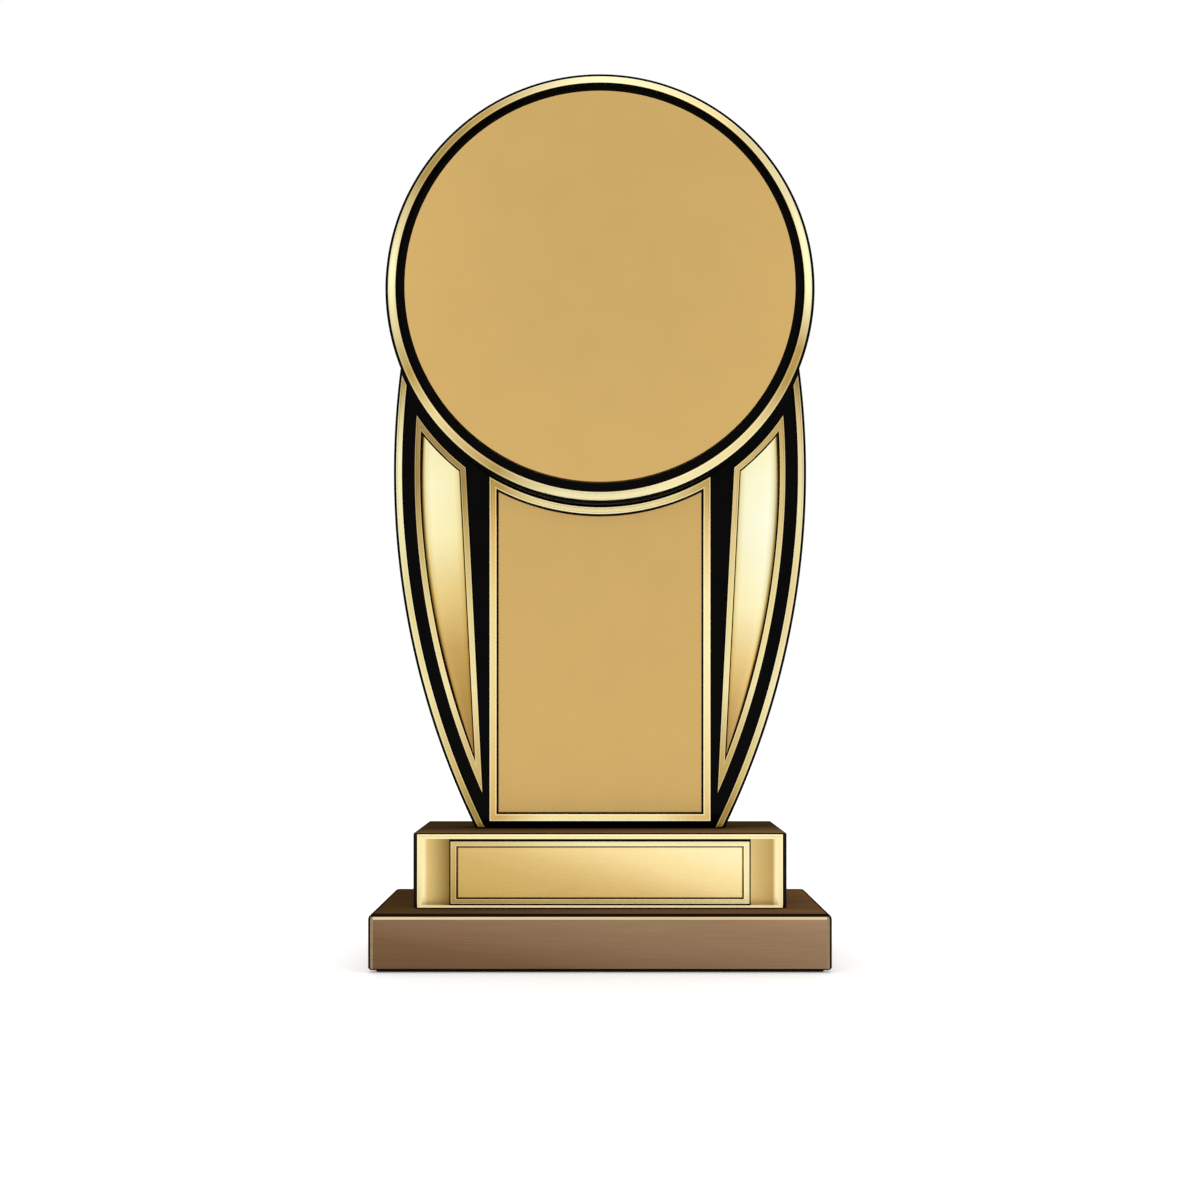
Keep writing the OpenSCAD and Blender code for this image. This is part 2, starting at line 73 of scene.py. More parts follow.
floor_size = 6.0
room_light = 0.90
floor_lift = 0.28
soft_boxes = {
    "key_left": {"at": (-1.40, -0.80, 0.75), "size": (1.6, 1.4), "watts": 2.4},
    "fill_right": {"at": (1.50, -0.80, 0.70), "size": (1.6, 1.3), "watts": 2.0},
    "top": {"at": (0.0, 0.20, 1.50), "size": (1.6, 1.2), "watts": 2.0},
    "rim_back": {"at": (0.0, 1.50, 0.90), "size": (1.8, 1.4), "watts": 3.0},
}
aim_height = 150 * MM


def srgb(code, alpha=1.0):
    """An sRGB hex colour as linear RGBA."""
    channels = [int(code[i:i + 2], 16) / 255 for i in (1, 3, 5)]
    linear = [c / 12.92 if c <= 0.04045 else ((c + 0.055) / 1.055) ** 2.4 for c in channels]
    return (*linear, alpha)


def add(tree, kind, inputs=None, stops=(), **settings):
    """Adds a node, sets its properties, and gives its inputs values or other nodes' outputs.

    stops are a colour ramp's, as (share, hex colour).
    """
    node = tree.nodes.new(kind)
    for key, value in settings.items():
        setattr(node, key, value)
    for i, (share, code) in enumerate(stops):
        stop = node.color_ramp.elements[i] if i < 2 else node.color_ramp.elements.new(share)
        stop.position, stop.color = share, srgb(code)
    for key, value in (inputs or {}).items():
        if isinstance(value, bpy.types.NodeSocket):
            tree.links.new(value, node.inputs[key])
        else:
            node.inputs[key].default_value = value
    return node


def empty_tree(owner):
    """The owner's node tree, switched on and cleared."""
    owner.use_nodes = True
    owner.node_tree.nodes.clear()
    return owner.node_tree


world = bpy.data.worlds.new("white_room")
bpy.context.scene.world = world
tree = empty_tree(world)
path = add(tree, "ShaderNodeLightPath")
seen = add(tree, "ShaderNodeMath", {0: path.outputs["Is Camera Ray"], 1: path.outputs["Is Glossy Ray"]},
           operation="MAXIMUM")
seen = add(tree, "ShaderNodeMath", {0: seen.outputs[0], 1: path.outputs["Is Transmission Ray"]},
           operation="MAXIMUM")
lit = add(tree, "ShaderNodeBackground", {"Color": (1, 1, 1, 1), "Strength": room_light})
shown = add(tree, "ShaderNodeBackground", {"Color": (1, 1, 1, 1), "Strength": 1.0})
mixed = add(tree, "ShaderNodeMixShader", {0: seen.outputs[0], 1: lit.outputs[0], 2: shown.outputs[0]})
add(tree, "ShaderNodeOutputWorld", {"Surface": mixed.outputs[0]})

# Matt white studio paper: it keeps the trophy's soft shadow, and is lifted to plain white for the eye
white_floor = bpy.data.materials.new("white_studio_floor")
tree = empty_tree(white_floor)
path = add(tree, "ShaderNodeLightPath")
matt = add(tree, "ShaderNodeBsdfDiffuse", {"Color": (0.86, 0.86, 0.86, 1)})
seen = add(tree, "ShaderNodeMath", {0: path.outputs["Is Camera Ray"], 1: path.outputs["Is Glossy Ray"]},
           operation="MAXIMUM")
seen = add(tree, "ShaderNodeMath", {0: seen.outputs[0], 1: path.outputs["Is Transmission Ray"]},
           operation="MAXIMUM")
lift = add(tree, "ShaderNodeMath", {0: seen.outputs[0], 1: floor_lift}, operation="MULTIPLY")
glow = add(tree, "ShaderNodeEmission", {"Color": (1, 1, 1, 1), "Strength": lift.outputs[0]})
both = add(tree, "ShaderNodeAddShader", {0: matt.outputs[0], 1: glow.outputs[0]})
add(tree, "ShaderNodeOutputMaterial", {"Surface": both.outputs[0]})

half = floor_size / 2
floor_mesh = bpy.data.meshes.new("studio_floor")
floor_corners = [(-half, -half, 0), (half, -half, 0), (half, half, 0), (-half, half, 0)]
floor_mesh.from_pydata(floor_corners, [], [(0, 1, 2, 3)])
floor_mesh.materials.append(white_floor)
studio_floor = bpy.data.objects.new("studio_floor", floor_mesh)
bpy.context.scene.collection.objects.link(studio_floor)

for name, box in soft_boxes.items():
    lamp = bpy.data.lights.new(name, "AREA")
    lamp.shape = "RECTANGLE"
    lamp.size, lamp.size_y = box["size"]
    lamp.energy = box["watts"]
    holder = bpy.data.objects.new(name, lamp)
    holder.location = box["at"]
    towards = Vector(box["at"]) - Vector((0, 0, aim_height))
    holder.rotation_euler = towards.to_track_quat("Z", "Y").to_euler()
    bpy.context.scene.collection.objects.link(holder)

bpy.context.scene.view_settings.view_transform = "Standard"


# ---- Base felt ----------------------------------------------------------------------------------
# A sheet of pressed wool felt, cut a little smaller than the step and glued under it. It hides the
# heads of the bolts and screws. Pressed felt is dull and fibrous, with a soft cut edge.

felt_edge = 0.3 * MM
felt_fibre = 0.7 * MM  # the tufts are finer; this is as coarse as they need to be to show


def surface_object(name, points, faces, materials, indices, crease=32, marks=None):
    """A mesh object from points and faces, smooth but for edges sharper than crease degrees.

    marks names values that the points carry, one a point, for a material to read.
    """
    mesh = bpy.data.meshes.new(name)
    mesh.from_pydata([tuple(p) for p in points], [], faces)
    for mark, values in (marks or {}).items():
        mesh.attributes.new(mark, "FLOAT", "POINT").data.foreach_set("value", values)
    for material in materials:
        mesh.materials.append(material)
    mesh.polygons.foreach_set("material_index", indices)
    bm = bmesh.new()
    bm.from_mesh(mesh)
    bmesh.ops.remove_doubles(bm, verts=bm.verts, dist=0.0005 * MM)
    bmesh.ops.recalc_face_normals(bm, faces=bm.faces)
    bm.to_mesh(mesh)
    bm.free()
    mesh.shade_smooth()
    mesh.set_sharp_from_angle(angle=math.radians(crease))
    made = bpy.data.objects.new(name, mesh)
    bpy.context.scene.collection.objects.link(made)
    return made


def fit(piece, slot, *nodes):
    """The piece stands for its CAD nodes, which it hides, and rides with the trophy; slot is not used."""
    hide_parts(*nodes)
    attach(piece, "root")
    return piece


def skin(name, loops, bands, materials, caps=(None, None), closed=False, crease=32):
    """Skins loops of equal length, one after the other; bands gives each strip's material.

    caps are the materials of the flat ends, the first loop's and the last one's. closed joins the last
    loop to the first instead.
    """
    count = len(loops[0])
    points = [point for loop in loops for point in loop]
    faces, indices = [], []
    pairs = [(k, k + 1) for k in range(len(loops) - 1)]
    if closed:
        pairs.append((len(loops) - 1, 0))
    for (a, b), band in zip(pairs, bands):
        for i in range(count):
            j = (i + 1) % count
            faces.append((a * count + i, a * count + j, b * count + j, b * count + i))
            indices.append(band)
    if caps[0] is not None:
        faces.append(tuple(reversed(range(count))))
        indices.append(caps[0])
    if caps[1] is not None:
        faces.append(tuple((len(loops) - 1) * count + i for i in range(count)))
        indices.append(caps[1])
    return surface_object(name, points, faces, materials, indices, crease)


def rounded(radius, steps):
    """A quarter round's steps, from its side to its top, as (inset, distance below the top)."""
    angles = [math.pi / 2 * i / steps for i in range(steps + 1)]
    return [(radius * (1 - math.cos(a)), radius * (1 - math.sin(a))) for a in angles]


def block(name, low, high, arris, foot, materials, pick, steps=3):
    """A block with rounded upright and top edges and a small bevel at its foot.

    pick gives a face's material from its normal.
    """
    centre = [(low[i] + high[i]) / 2 for i in range(2)]
    half = [(high[i] - low[i]) / 2 - arris for i in range(2)]
    levels = [(foot, low[2]), (0, low[2] + foot)]
    levels += [(inset, high[2] - drop) for inset, drop in rounded(arris, steps)]
    loops = []
    for inset, z in levels:
        loop = []
        for quarter, (sx, sy) in enumerate([(1, 1), (-1, 1), (-1, -1), (1, -1)]):
            for k in range(steps + 1):
                angle = math.pi / 2 * (quarter + k / steps)
                x = centre[0] + sx * half[0] + (arris - inset) * math.cos(angle)
                y = centre[1] + sy * half[1] + (arris - inset) * math.sin(angle)
                loop.append((x, y, z))
        loops.append(loop)
    made = skin(name, loops, [0] * len(loops), materials, caps=(0, 0), crease=25)
    for face in made.data.polygons:
        face.material_index = pick(face.normal)
    return made


def principled(name, **inputs):
    """A new material with a Principled shader; returns the material, its tree and the shader."""
    material = bpy.data.materials.new(name)
    tree = empty_tree(material)
    values = {key.replace("_", " "): value for key, value in inputs.items()}
    shader = add(tree, "ShaderNodeBsdfPrincipled", values)
    add(tree, "ShaderNodeOutputMaterial", {"Surface": shader.outputs[0]})
    return material, tree, shader


def grain(tree, size, detail, *spreads, middle=(0.3, 0.7)):
    """Noise whose lumps measure size (x, y, z) in metres, read from Object coordinates.

    It returns the noise, then the middle of its range turned into each (low, high) of spreads.
    """
    place = add(tree, "ShaderNodeTexCoord")
    per_lump = [1 / length for length in size]
    scaled = add(tree, "ShaderNodeMapping", {"Vector": place.outputs["Object"], "Scale": per_lump})
    noise = add(tree, "ShaderNodeTexNoise", {"Vector": scaled.outputs[0], "Scale": 1.0, "Detail": detail})
    found = [noise.outputs["Fac"]]
    for low, high in spreads:
        found.append(add(tree, "ShaderNodeMapRange", {
            "Value": noise.outputs["Fac"], "From Min": middle[0], "From Max": middle[1],
            "To Min": low, "To Max": high,
        }).outputs[0])
    return found


# Pressed wool felt: no gloss at all, a woolly sheen at grazing angles and a lumpy fibre surface
pressed_felt, tree, shader = principled("pressed_wool_felt", Roughness=0.95, Specular_IOR_Level=0.1)
shader.inputs["Sheen Weight"].default_value = 0.35
shader.inputs["Sheen Roughness"].default_value = 0.5
fibres, tangle = grain(tree, (felt_fibre, felt_fibre, felt_fibre), 6, (0, 1))
wool = add(tree, "ShaderNodeMix", {0: tangle, 6: srgb("#0f0d0b"), 7: srgb("#2c2823")}, data_type="RGBA")
lumps = add(tree, "ShaderNodeBump", {"Height": fibres, "Strength": 0.6, "Distance": 0.15 * MM})
tree.links.new(wool.outputs[2], shader.inputs["Base Color"])
tree.links.new(lumps.outputs[0], shader.inputs["Normal"])

low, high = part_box("base_felt")
felt_pad = block("felt_pad", low, high, felt_edge, felt_edge, [pressed_felt], lambda normal: 0)
fit(felt_pad, "base_felt", "base_felt")


# ---- Lower step ---------------------------------------------------------------------------------
# A block of walnut, stained, sealed and rubbed to a satin varnish. The front is cut along the grain;
# the top is painted darker than the front as shade. Its rounded arrises carry a painted highlight on
# the front's top and upright edges, and painted shade, near black, on the others.

lower_arris = 1.7 * MM
step_foot = 0.45 * MM
pore = (26 * MM, 0.5 * MM, 0.5 * MM)  # walnut's pores are about half as wide; drawn so that they show
figure = (160 * MM, 7 * MM, 7 * MM)
figure_share = 0.55  # of the darkening that comes from the figure; the pores give the rest


def stained_wood(name, run, deep, contrast, gloss):
    """Stained wood with its grain along X; run is one colour, or a start, an end and stops between them."""
    material, tree, shader = principled(name, Specular_IOR_Level=gloss)
    _, bands = grain(tree, figure, 4, (0, 1), middle=(0.35, 0.65))
    _, pores, dull = grain(tree, pore, 2, (0, 1), (0.40, 0.56), middle=(0.42, 0.62))
    figured = add(tree, "ShaderNodeMix", {0: figure_share, 2: pores, 3: bands})
    amount = add(tree, "ShaderNodeMath", {0: figured.outputs[0], 1: contrast}, operation="MULTIPLY")
    tone = srgb(run) if isinstance(run, str) else gradient(tree, *run)
    dark = add(tree, "ShaderNodeMix", {0: 1.0, 6: tone, 7: srgb(deep)}, data_type="RGBA",
               blend_type="MULTIPLY")
    wood = add(tree, "ShaderNodeMix", {0: amount.outputs[0], 6: tone, 7: dark.outputs[2]}, data_type="RGBA")
    tree.links.new(wood.outputs[2], shader.inputs["Base Color"])
    tree.links.new(dull, shader.inputs["Roughness"])
    relief = add(tree, "ShaderNodeBump", {
        "Height": pores, "Strength": 0.25, "Distance": 0.05 * MM, "Filter Width": 0.1,
    })
    tree.links.new(relief.outputs[0], shader.inputs["Normal"])
    return material


def gradient(tree, start, end, stops):
    """A colour that runs from the place start to the place end through stops of (share, hex colour)."""
    place = add(tree, "ShaderNodeTexCoord")
    line = Vector(end) - Vector(start)
    local = add(tree, "ShaderNodeVectorMath", {0: place.outputs["Object"], 1: start}, operation="SUBTRACT")
    share = add(tree, "ShaderNodeVectorMath", {0: local.outputs[0], 1: line / line.length_squared},
                operation="DOT_PRODUCT")
    return add(tree, "ShaderNodeValToRGB", {"Fac": share.outputs["Value"]}, stops).outputs["Color"]


low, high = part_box("base_lower")
middle_z = (low.z + high.z) / 2
# Painted light: the varnish's colour pales upwards and a little to the right, past both edges of the front
slant, spread = 3.5 * MM, 20.9 * MM
front_painted_light = ((-slant, 0, middle_z - spread), (slant, 0, middle_z + spread), [
    (0.0, "#75573b"), (0.24, "#7e5f41"), (0.35, "#8b6b4f"), (0.49, "#947558"), (0.64, "#9c7f5f"),
    (0.76, "#9f8262"), (0.92, "#aa8a6a"), (1.0, "#ae8e6d"),
])
top_painted_light = ((low.x, 0, 0), (high.x, 0, 0), [(0.0, "#4e381d"), (0.5, "#6c4f38"), (1.0, "#715234")])
# Satin varnish over straight long grain: a warm mid brown, painted paler towards the upper right as light,
# fine pores
satin_walnut = stained_wood("walnut_satin_varnish", front_painted_light, "#c9b199", 0.3, 0.12)
# The lying faces: deep brown, matt, with the pores almost black; their darkness beside the front is painted
# shade, and their paling to the right is painted light
dark_walnut = stained_wood("walnut_stain_painted_shade", top_painted_light, "#a98f74", 0.5, 0.0)
# The front's top arris: one thin line of pale colour, a painted highlight
arris_highlight_walnut = stained_wood("walnut_arris_painted_highlight", "#f2dcb2", "#c8a673", 0.3, 0.12)
# The front's upright arrises: a mid brown edge, a weaker painted highlight
side_arris_highlight_walnut = stained_wood("walnut_side_arris_painted_highlight", "#a58a6b", "#a98f74", 0.4, 0.12)
# The other arrises: near black and without gloss, painted shade that draws a dark outline
edge_walnut = stained_wood("walnut_edge_painted_shade", "#1d130a", "#a98f74", 0.5, 0.0)


def step_face(normal):
    """0 front, back and sides, 1 top, 2 top arris with painted highlight, 3 side arris with painted
    highlight, 4 arris and foot with painted shade.
    """
    if abs(normal.z) > 0.98:
        return 1
    if max(abs(normal.x), abs(normal.y)) > 0.98:
        return 0
    if normal.z < -0.1 or normal.y > -0.9:
        return 4
    return 2 if normal.z > abs(normal.x) else 3


step_finishes = [satin_walnut, dark_walnut, arris_highlight_walnut, side_arris_highlight_walnut, edge_walnut]
lower_step = block("lower_step", low, high, lower_arris, step_foot, step_finishes, step_face)
fit(lower_step, "stained_wood", "base_lower")


# ---- Upper step ---------------------------------------------------------------------------------
# The same walnut, stained nearly black all over, with only a fine arris. The fascia covers its front.

upper_arris = 0.45 * MM
paling = 26 * MM  # how far back the top's pale front edge reaches
paling_slant = 2.4 * MM

low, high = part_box("base_upper")
plinth_top = high.z
top_painted_light = ((0, low.y + paling, 0), (paling_slant, low.y, 0), [
    (0.0, "#42331d"), (0.25, "#523f27"), (0.75, "#6d5638"), (1.0, "#7f6346"),
])
# Near-black stain under a thin sealer: the grain hardly shows and a faint gloss lies on it
black_walnut = stained_wood("walnut_black_stain", "#1f160d", "#8f7860", 0.6, 0.05)
# The step's top: dark brown and matt; painted light makes it paler towards its front edge, and painted
# shade darker back towards the upright
upper_top_walnut = stained_wood("walnut_brown_stain_painted_light", top_painted_light, "#a98f74", 0.5, 0.0)
fit(block("upper_step", low, high, upper_arris, step_foot, [black_walnut, upper_top_walnut],
          lambda normal: 1 if normal.z > 0.9 else 0), "stained_wood", "base_upper")


# ---- Screws, bolts, washers and inserts in the plinth -------------------------------------------
# Bright zinc-plated steel from the bench box, and turned brass inserts in the upright's foot. The
# felt and the wood hide them all.

zinc_grit = 0.35 * MM  # zinc's crystals are a tenth of this; drawn so that they show


def bare_metal(name, pale, deep, roughness, size):
    """Bare metal with a mottled surface of the given grain size."""
    material, tree, shader = principled(name, Metallic=1.0)
    mottle, patches, dull = grain(tree, (size, size, size), 5, (0, 1), (roughness - 0.07, roughness + 0.07))
    tint = add(tree, "ShaderNodeMix", {0: patches, 6: srgb(deep), 7: srgb(pale)}, data_type="RGBA")
    relief = add(tree, "ShaderNodeBump", {"Height": mottle, "Strength": 0.15, "Distance": 0.03 * MM})
    tree.links.new(tint.outputs[2], shader.inputs["Base Color"])
    tree.links.new(dull, shader.inputs["Roughness"])
    tree.links.new(relief.outputs[0], shader.inputs["Normal"])
    return material


# Bright zinc plate: cold pale grey, faintly mottled, half dull
zinc_plate = bare_metal("zinc_plated_steel", "#c9ccd0", "#9fa3a8", 0.34, zinc_grit)
# Turned brass: plain yellow, a little brighter and smoother than the zinc
turned_brass = bare_metal("turned_brass", "#cfa866", "#a8823f", 0.28, zinc_grit)
for node, finish in {
    "base_screws": zinc_plate, "body_bolts": zinc_plate, "body_washers": zinc_plate,
    "body_inserts": turned_brass,
}.items():
    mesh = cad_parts[node].data
    mesh.materials.clear()
    mesh.materials.append(finish)


# ---- Fascia -------------------------------------------------------------------------------------
# A gilt metal casting pinned to the upper step: a raised rim all round, a shallow flute at each end
# and a plain field between. The rim is polished, with a painted highlight, and the flutes are painted
# darker inwards as reflection and shade.

fascia_plate = 1.2 * MM
fascia_rim_width = 1.5 * MM
fascia_foot_width = 0.7 * MM
fascia_rim_height = 0.8 * MM
fascia_tilt = 0.15 * MM
flute_depth = 0.7 * MM
flute_points = 14
flute_clear = 0.4 * MM
lap = 0.05 * MM
gilt_fleck = 0.45 * MM  # polishing marks are far finer; drawn so that they show
gilt_patch = 14 * MM


def mould(name, outline, back, steps, bands, materials, caps=(None, None), closed=False, mirror=False):
    """A relief on a face at y = back: outline(inset) gives its loops, steps are (inset, height)."""
    side = -1 if mirror else 1
    loops = [[(side * x, back - height, z) for x, z in outline(inset)] for inset, height in steps]
    return skin(name, loops, bands, materials, caps, closed)


def gilt(name, tone_of, stops, roughness=0.2, brush=None, wander=0.03, lift=1.0, depth=0.003 * MM):
    """Gilt metal toned by tone_of(tree, stops); a lift below 1 raises the tone into a painted highlight."""
    material, tree, shader = principled(name, Metallic=1.0)
    tone = add(tree, "ShaderNodeGamma", {"Color": tone_of(tree, stops), "Gamma": lift})
    _, patch = grain(tree, (gilt_patch, gilt_patch, gilt_patch), 2, (1 - wander, 1 + wander / 3))
    marks, fleck, dull = grain(tree, brush or (gilt_fleck, gilt_fleck, gilt_fleck), 3,
                               (1 - wander * 0.6, 1 + wander * 0.3), (roughness - 0.04, roughness + 0.05))
    both = add(tree, "ShaderNodeMath", {0: patch, 1: fleck}, operation="MULTIPLY")
    toned = add(tree, "ShaderNodeVectorMath", {0: tone.outputs[0], "Scale": both.outputs[0]},
                operation="SCALE")
    relief = add(tree, "ShaderNodeBump", {"Height": marks, "Strength": 0.2, "Distance": depth})
    tree.links.new(toned.outputs[0], shader.inputs["Base Color"])
    tree.links.new(dull, shader.inputs["Roughness"])
    tree.links.new(relief.outputs[0], shader.inputs["Normal"])
    return material


def along(start, end):
    """A tone that runs from the place start to the place end."""
    return lambda tree, stops: gradient(tree, start, end, stops)


low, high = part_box("fascia")
fascia_middle = (low.z + high.z) / 2
upper_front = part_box("base_upper")[0].y
field_front = upper_front - fascia_plate
fascia_width = high.x - low.x
fascia_height = high.z - low.z
name_low, name_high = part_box("nameplate_frame")
name_width = name_high.x - name_low.x
name_height = name_high.z - name_low.z
name_middle = (name_low.z + name_high.z) / 2

bright_run = [(0, "#f6e7ae"), (0.5, "#fdf2c0"), (1, "#fff1bb")]
# Gilt of the rim's crest line, painted almost white-gold along its whole length as a highlight
rim_line = along((low.x, 0, low.z), (high.x, 0, high.z))
bright_gilt = gilt("gilt_rim_painted_highlight", rim_line, bright_run, roughness=0.15)
rim_run = [(0, "#f3e2a8"), (0.5, "#f2e5af"), (1, "#f6e6b0")]
# Polished gilt of the rim's inner slope: pale gold, a painted highlight one step deeper than the crest line
rim_gilt = gilt("gilt_fascia_rim", rim_line, rim_run)
lip_width = 2.2 * MM
lip_fall = 1.0 * MM
lip = lip_width / fascia_width
lip_inner = (lip_width + lip_fall) / fascia_width
name_start = (name_low.x - low.x) / fascia_width
flute_run = [
    (0.0, "#fff2c0"), (lip, "#fee8b0"), (lip_inner, "#d8bc78"), (name_start, "#785c28"),
    (1 - name_start, "#d8ba7a"), (1 - lip_inner, "#ba9a5a"), (1 - lip, "#fbecb8"), (1.0, "#fff2c0"),
]
# Satin gilt of the flutes. Its run stands in for reflections: a bright lip at each end, and deep old
# gold beside the nameplate's left edge
fascia_gilt = gilt("gilt_flutes_painted_reflection", along((low.x, 0, 0), (high.x, 0, 0)), flute_run, roughness=0.24)

fillet_round = 0.08 * MM
crest_sink = 0.10 * MM


def rail(width, height, fillet):
    """Steps across a rail: a fillet along each edge, for a painted highlight, and a satin crest sunk
    between them.
    """
    half_section = [
        (0, 0), (0, height - fillet_round), (fillet_round, height), (fillet - crest_sink, height),
        (fillet, height - crest_sink),
    ]
    return half_section + [(width - inset, step) for inset, step in reversed(half_section)]


# Walls, then each fillet's round, flat and slope, with the crest in their middle: 0 crest, 1 fillet with
# painted highlight
rail_bands = [1, 1, 1, 0, 0, 0, 1, 1, 1, 0]

reach = fascia_rim_width
top = fascia_plate + fascia_rim_height
rim_steps = [
    (0, 0), (0, top - fillet_round), (fillet_round, top), (reach / 3, top - fascia_tilt / 3),
    (reach / 3 + crest_sink, top - fascia_tilt / 3 - crest_sink), (reach, top - fascia_tilt - crest_sink),
    (reach, fascia_plate - flute_depth),
]


def rim_outline(inset):
    """The fascia's outline; its foot's rail is narrower, in the same steps."""
    x, low_z = fascia_width / 2 - inset, fascia_middle - fascia_height / 2
    foot_z, head_z = low_z + inset * fascia_foot_width / fascia_rim_width, low_z + fascia_height - inset
    return [(-x, foot_z), (x, foot_z), (x, head_z), (-x, head_z)]


fascia_rim = mould("fascia_rim", rim_outline, upper_front, rim_steps, [0, 0, 0, 1, 1, 1, 0],
                   [bright_gilt, rim_gilt], closed=True)

field_half = fascia_width / 2 - reach + lap
flute_in = name_width / 2 + flute_clear
flute_width = fascia_width / 2 - reach - flute_in
flute_bow = ((flute_width / 2) ** 2 + flute_depth ** 2) / (2 * flute_depth)


def flute(side):
    """The flute's hollow from its inner edge to its outer one, as (x, depth) points."""
    points = []
    for i in range(flute_points + 1):
        across = (i / flute_points - 0.5) * flute_width
        depth = flute_depth - (flute_bow - math.sqrt(flute_bow ** 2 - across ** 2))
        points.append((side * (flute_in + flute_width / 2 + across), max(depth, 0)))
    return points


section = [(-field_half, 0)] + list(reversed(flute(-1))) + flute(1) + [(field_half, 0)]
field_low = fascia_middle - fascia_height / 2 + fascia_foot_width - lap
field_high = fascia_middle + fascia_height / 2 - reach + lap
ends = []
for z in (field_low, field_high):
    front_line = [(x, field_front + depth, z) for x, depth in section]
    ends.append(front_line + [(field_half, upper_front, z), (-field_half, upper_front, z)])
fascia_field = skin("fascia_field", ends, [0], [fascia_gilt], caps=(0, 0))
fit(fascia_rim, "gilt_bright", "fascia")
fit(fascia_field, "gilt_bright", "fascia")


# ---- Nameplate and its frame --------------------------------------------------------------------
# The frame is a gilt moulding on a black ground, and the blank plate lies inside it. The black
# ground is painted shade: a fine dark line outside the frame and between it and the plate.

name_rail = 1.9 * MM
name_rail_lying = 1.6 * MM
name_frame_height = 1.4 * MM
nameplate_height = 1.0 * MM
name_line = 0.35 * MM
name_fillet = 0.5 * MM
plate_arris = 0.3 * MM
shade_ground_height = 0.12 * MM
shade_ground_margin = 0.52 * MM
shade_ground_sink = 0.1 * MM
shade_ground_speck = 0.6 * MM

# A flat black sheet, painted shade in the seams: glassy and almost without colour, with faint dull specks
painted_shade_ground, tree, shader = principled("painted_shade_ground", Base_Color=srgb("#0c0703"),
                                        Specular_IOR_Level=0.035)
_, specks = grain(tree, (shade_ground_speck, shade_ground_speck, shade_ground_speck), 3, (0.2, 0.4))
tree.links.new(specks, shader.inputs["Roughness"])

# The light falls across the plate from its upper right, mostly along the slope of a long diagonal
name_slant, name_spread = 5.9 * MM, 20 * MM
name_fall = along((-name_slant, 0, name_middle - name_spread), (name_slant, 0, name_middle + name_spread))
frame_run = [
    (0.0, "#b0904e"), (0.17, "#bfa35d"), (0.28, "#c5a663"), (0.5, "#dbc282"), (0.7, "#efe4aa"),
    (1.0, "#f3e4aa"),
]
# Satin gilt of the frame's crest, painted light: old gold at the lower left, pale at the upper right
frame_gilt = gilt("gilt_nameplate_frame", name_fall, frame_run)
# The frame's cut edges: the same run, lifted to a painted highlight
frame_edge = gilt("gilt_nameplate_frame_painted_highlight", name_fall, frame_run, roughness=0.15, lift=0.7)
plate_run = [
    (0.0, "#c3a259"), (0.15, "#c9a963"), (0.3, "#cfae69"), (0.45, "#daba77"), (0.52, "#e1c481"),
    (0.6, "#ebce8e"), (0.67, "#f1d899"), (0.75, "#f6de9f"), (0.82, "#f9e4ac"), (1.0, "#fbefbc"),
]
draw_marks = (9 * MM, 0.3 * MM, 0.3 * MM)  # the real marks are finer than 0.1 mm; drawn so that they show
# Satin gilt sheet with fine lengthwise draw marks; painted light runs it pale towards the upper right
plate_gilt = gilt("gilt_nameplate_satin", name_fall, plate_run, roughness=0.28, brush=draw_marks,
                  wander=0.012, depth=0.0015 * MM)
# The plate's polished arris: the same run, lifted to a painted highlight, a hairline of light
plate_cut = gilt("gilt_nameplate_painted_highlight", name_fall, plate_run, roughness=0.15, lift=0.75)


def name_outline(inset):
    """The nameplate frame's outline; its lying rails are narrower, in the same steps."""
    w, h = name_width / 2 - inset, name_height / 2 - inset * name_rail_lying / name_rail
    return [(-w, name_middle - h), (w, name_middle - h), (w, name_middle + h), (-w, name_middle + h)]


ground_half = name_width / 2 + shade_ground_margin


def ground_outline(inset):
    """The black ground of painted shade, which fills the field's height between the rails of the fascia's
    rim.
    """
    w, foot_z, head_z = ground_half - inset, field_low + inset, field_high - inset
    return [(-w, foot_z), (w, foot_z), (w, head_z), (-w, head_z)]


ground = mould("nameplate_ground", ground_outline, field_front, [(0, -shade_ground_sink), (0, shade_ground_height)],
               [0], [painted_shade_ground], caps=(0, 0))
name_frame = mould("nameplate_frame_moulding", name_outline, field_front,
                   rail(name_rail, name_frame_height, name_fillet), rail_bands, [frame_gilt, frame_edge],
                   closed=True)
plate_inset = name_rail + name_line
name_plate = mould("nameplate_blank", name_outline, field_front,
                   [(plate_inset, 0), (plate_inset, nameplate_height - plate_arris),
                    (plate_inset + plate_arris, nameplate_height)],
                   [0, 1], [plate_gilt, plate_cut], caps=(0, 0))
fit(ground, "black_lacquer", "nameplate_frame")
fit(name_frame, "gilt_bright", "nameplate_frame")
fit(name_plate, "gilt_satin", "nameplate")


# ---- Upright board ------------------------------------------------------------------------------
# A board with two bowed sides and a rounded head, in black gloss lacquer over sanded filler. Three
# pockets in its back take the nuts of the medallion's studs. Rubbing out leaves faint ripples.

belly_rise = 122 * MM
foot_width = 85.4 * MM
head_spread = 9 * MM
board_arris = 0.2 * MM
side_points = 72
head_points = 40
pocket_radius = 5.4 * MM
pocket_depth = 5.5 * MM
stud_circle = 40 * MM
stud_turn = 90
bore_points = 64
lacquer_dust = 0.5 * MM  # nibs in the lacquer are finer; drawn so that they show

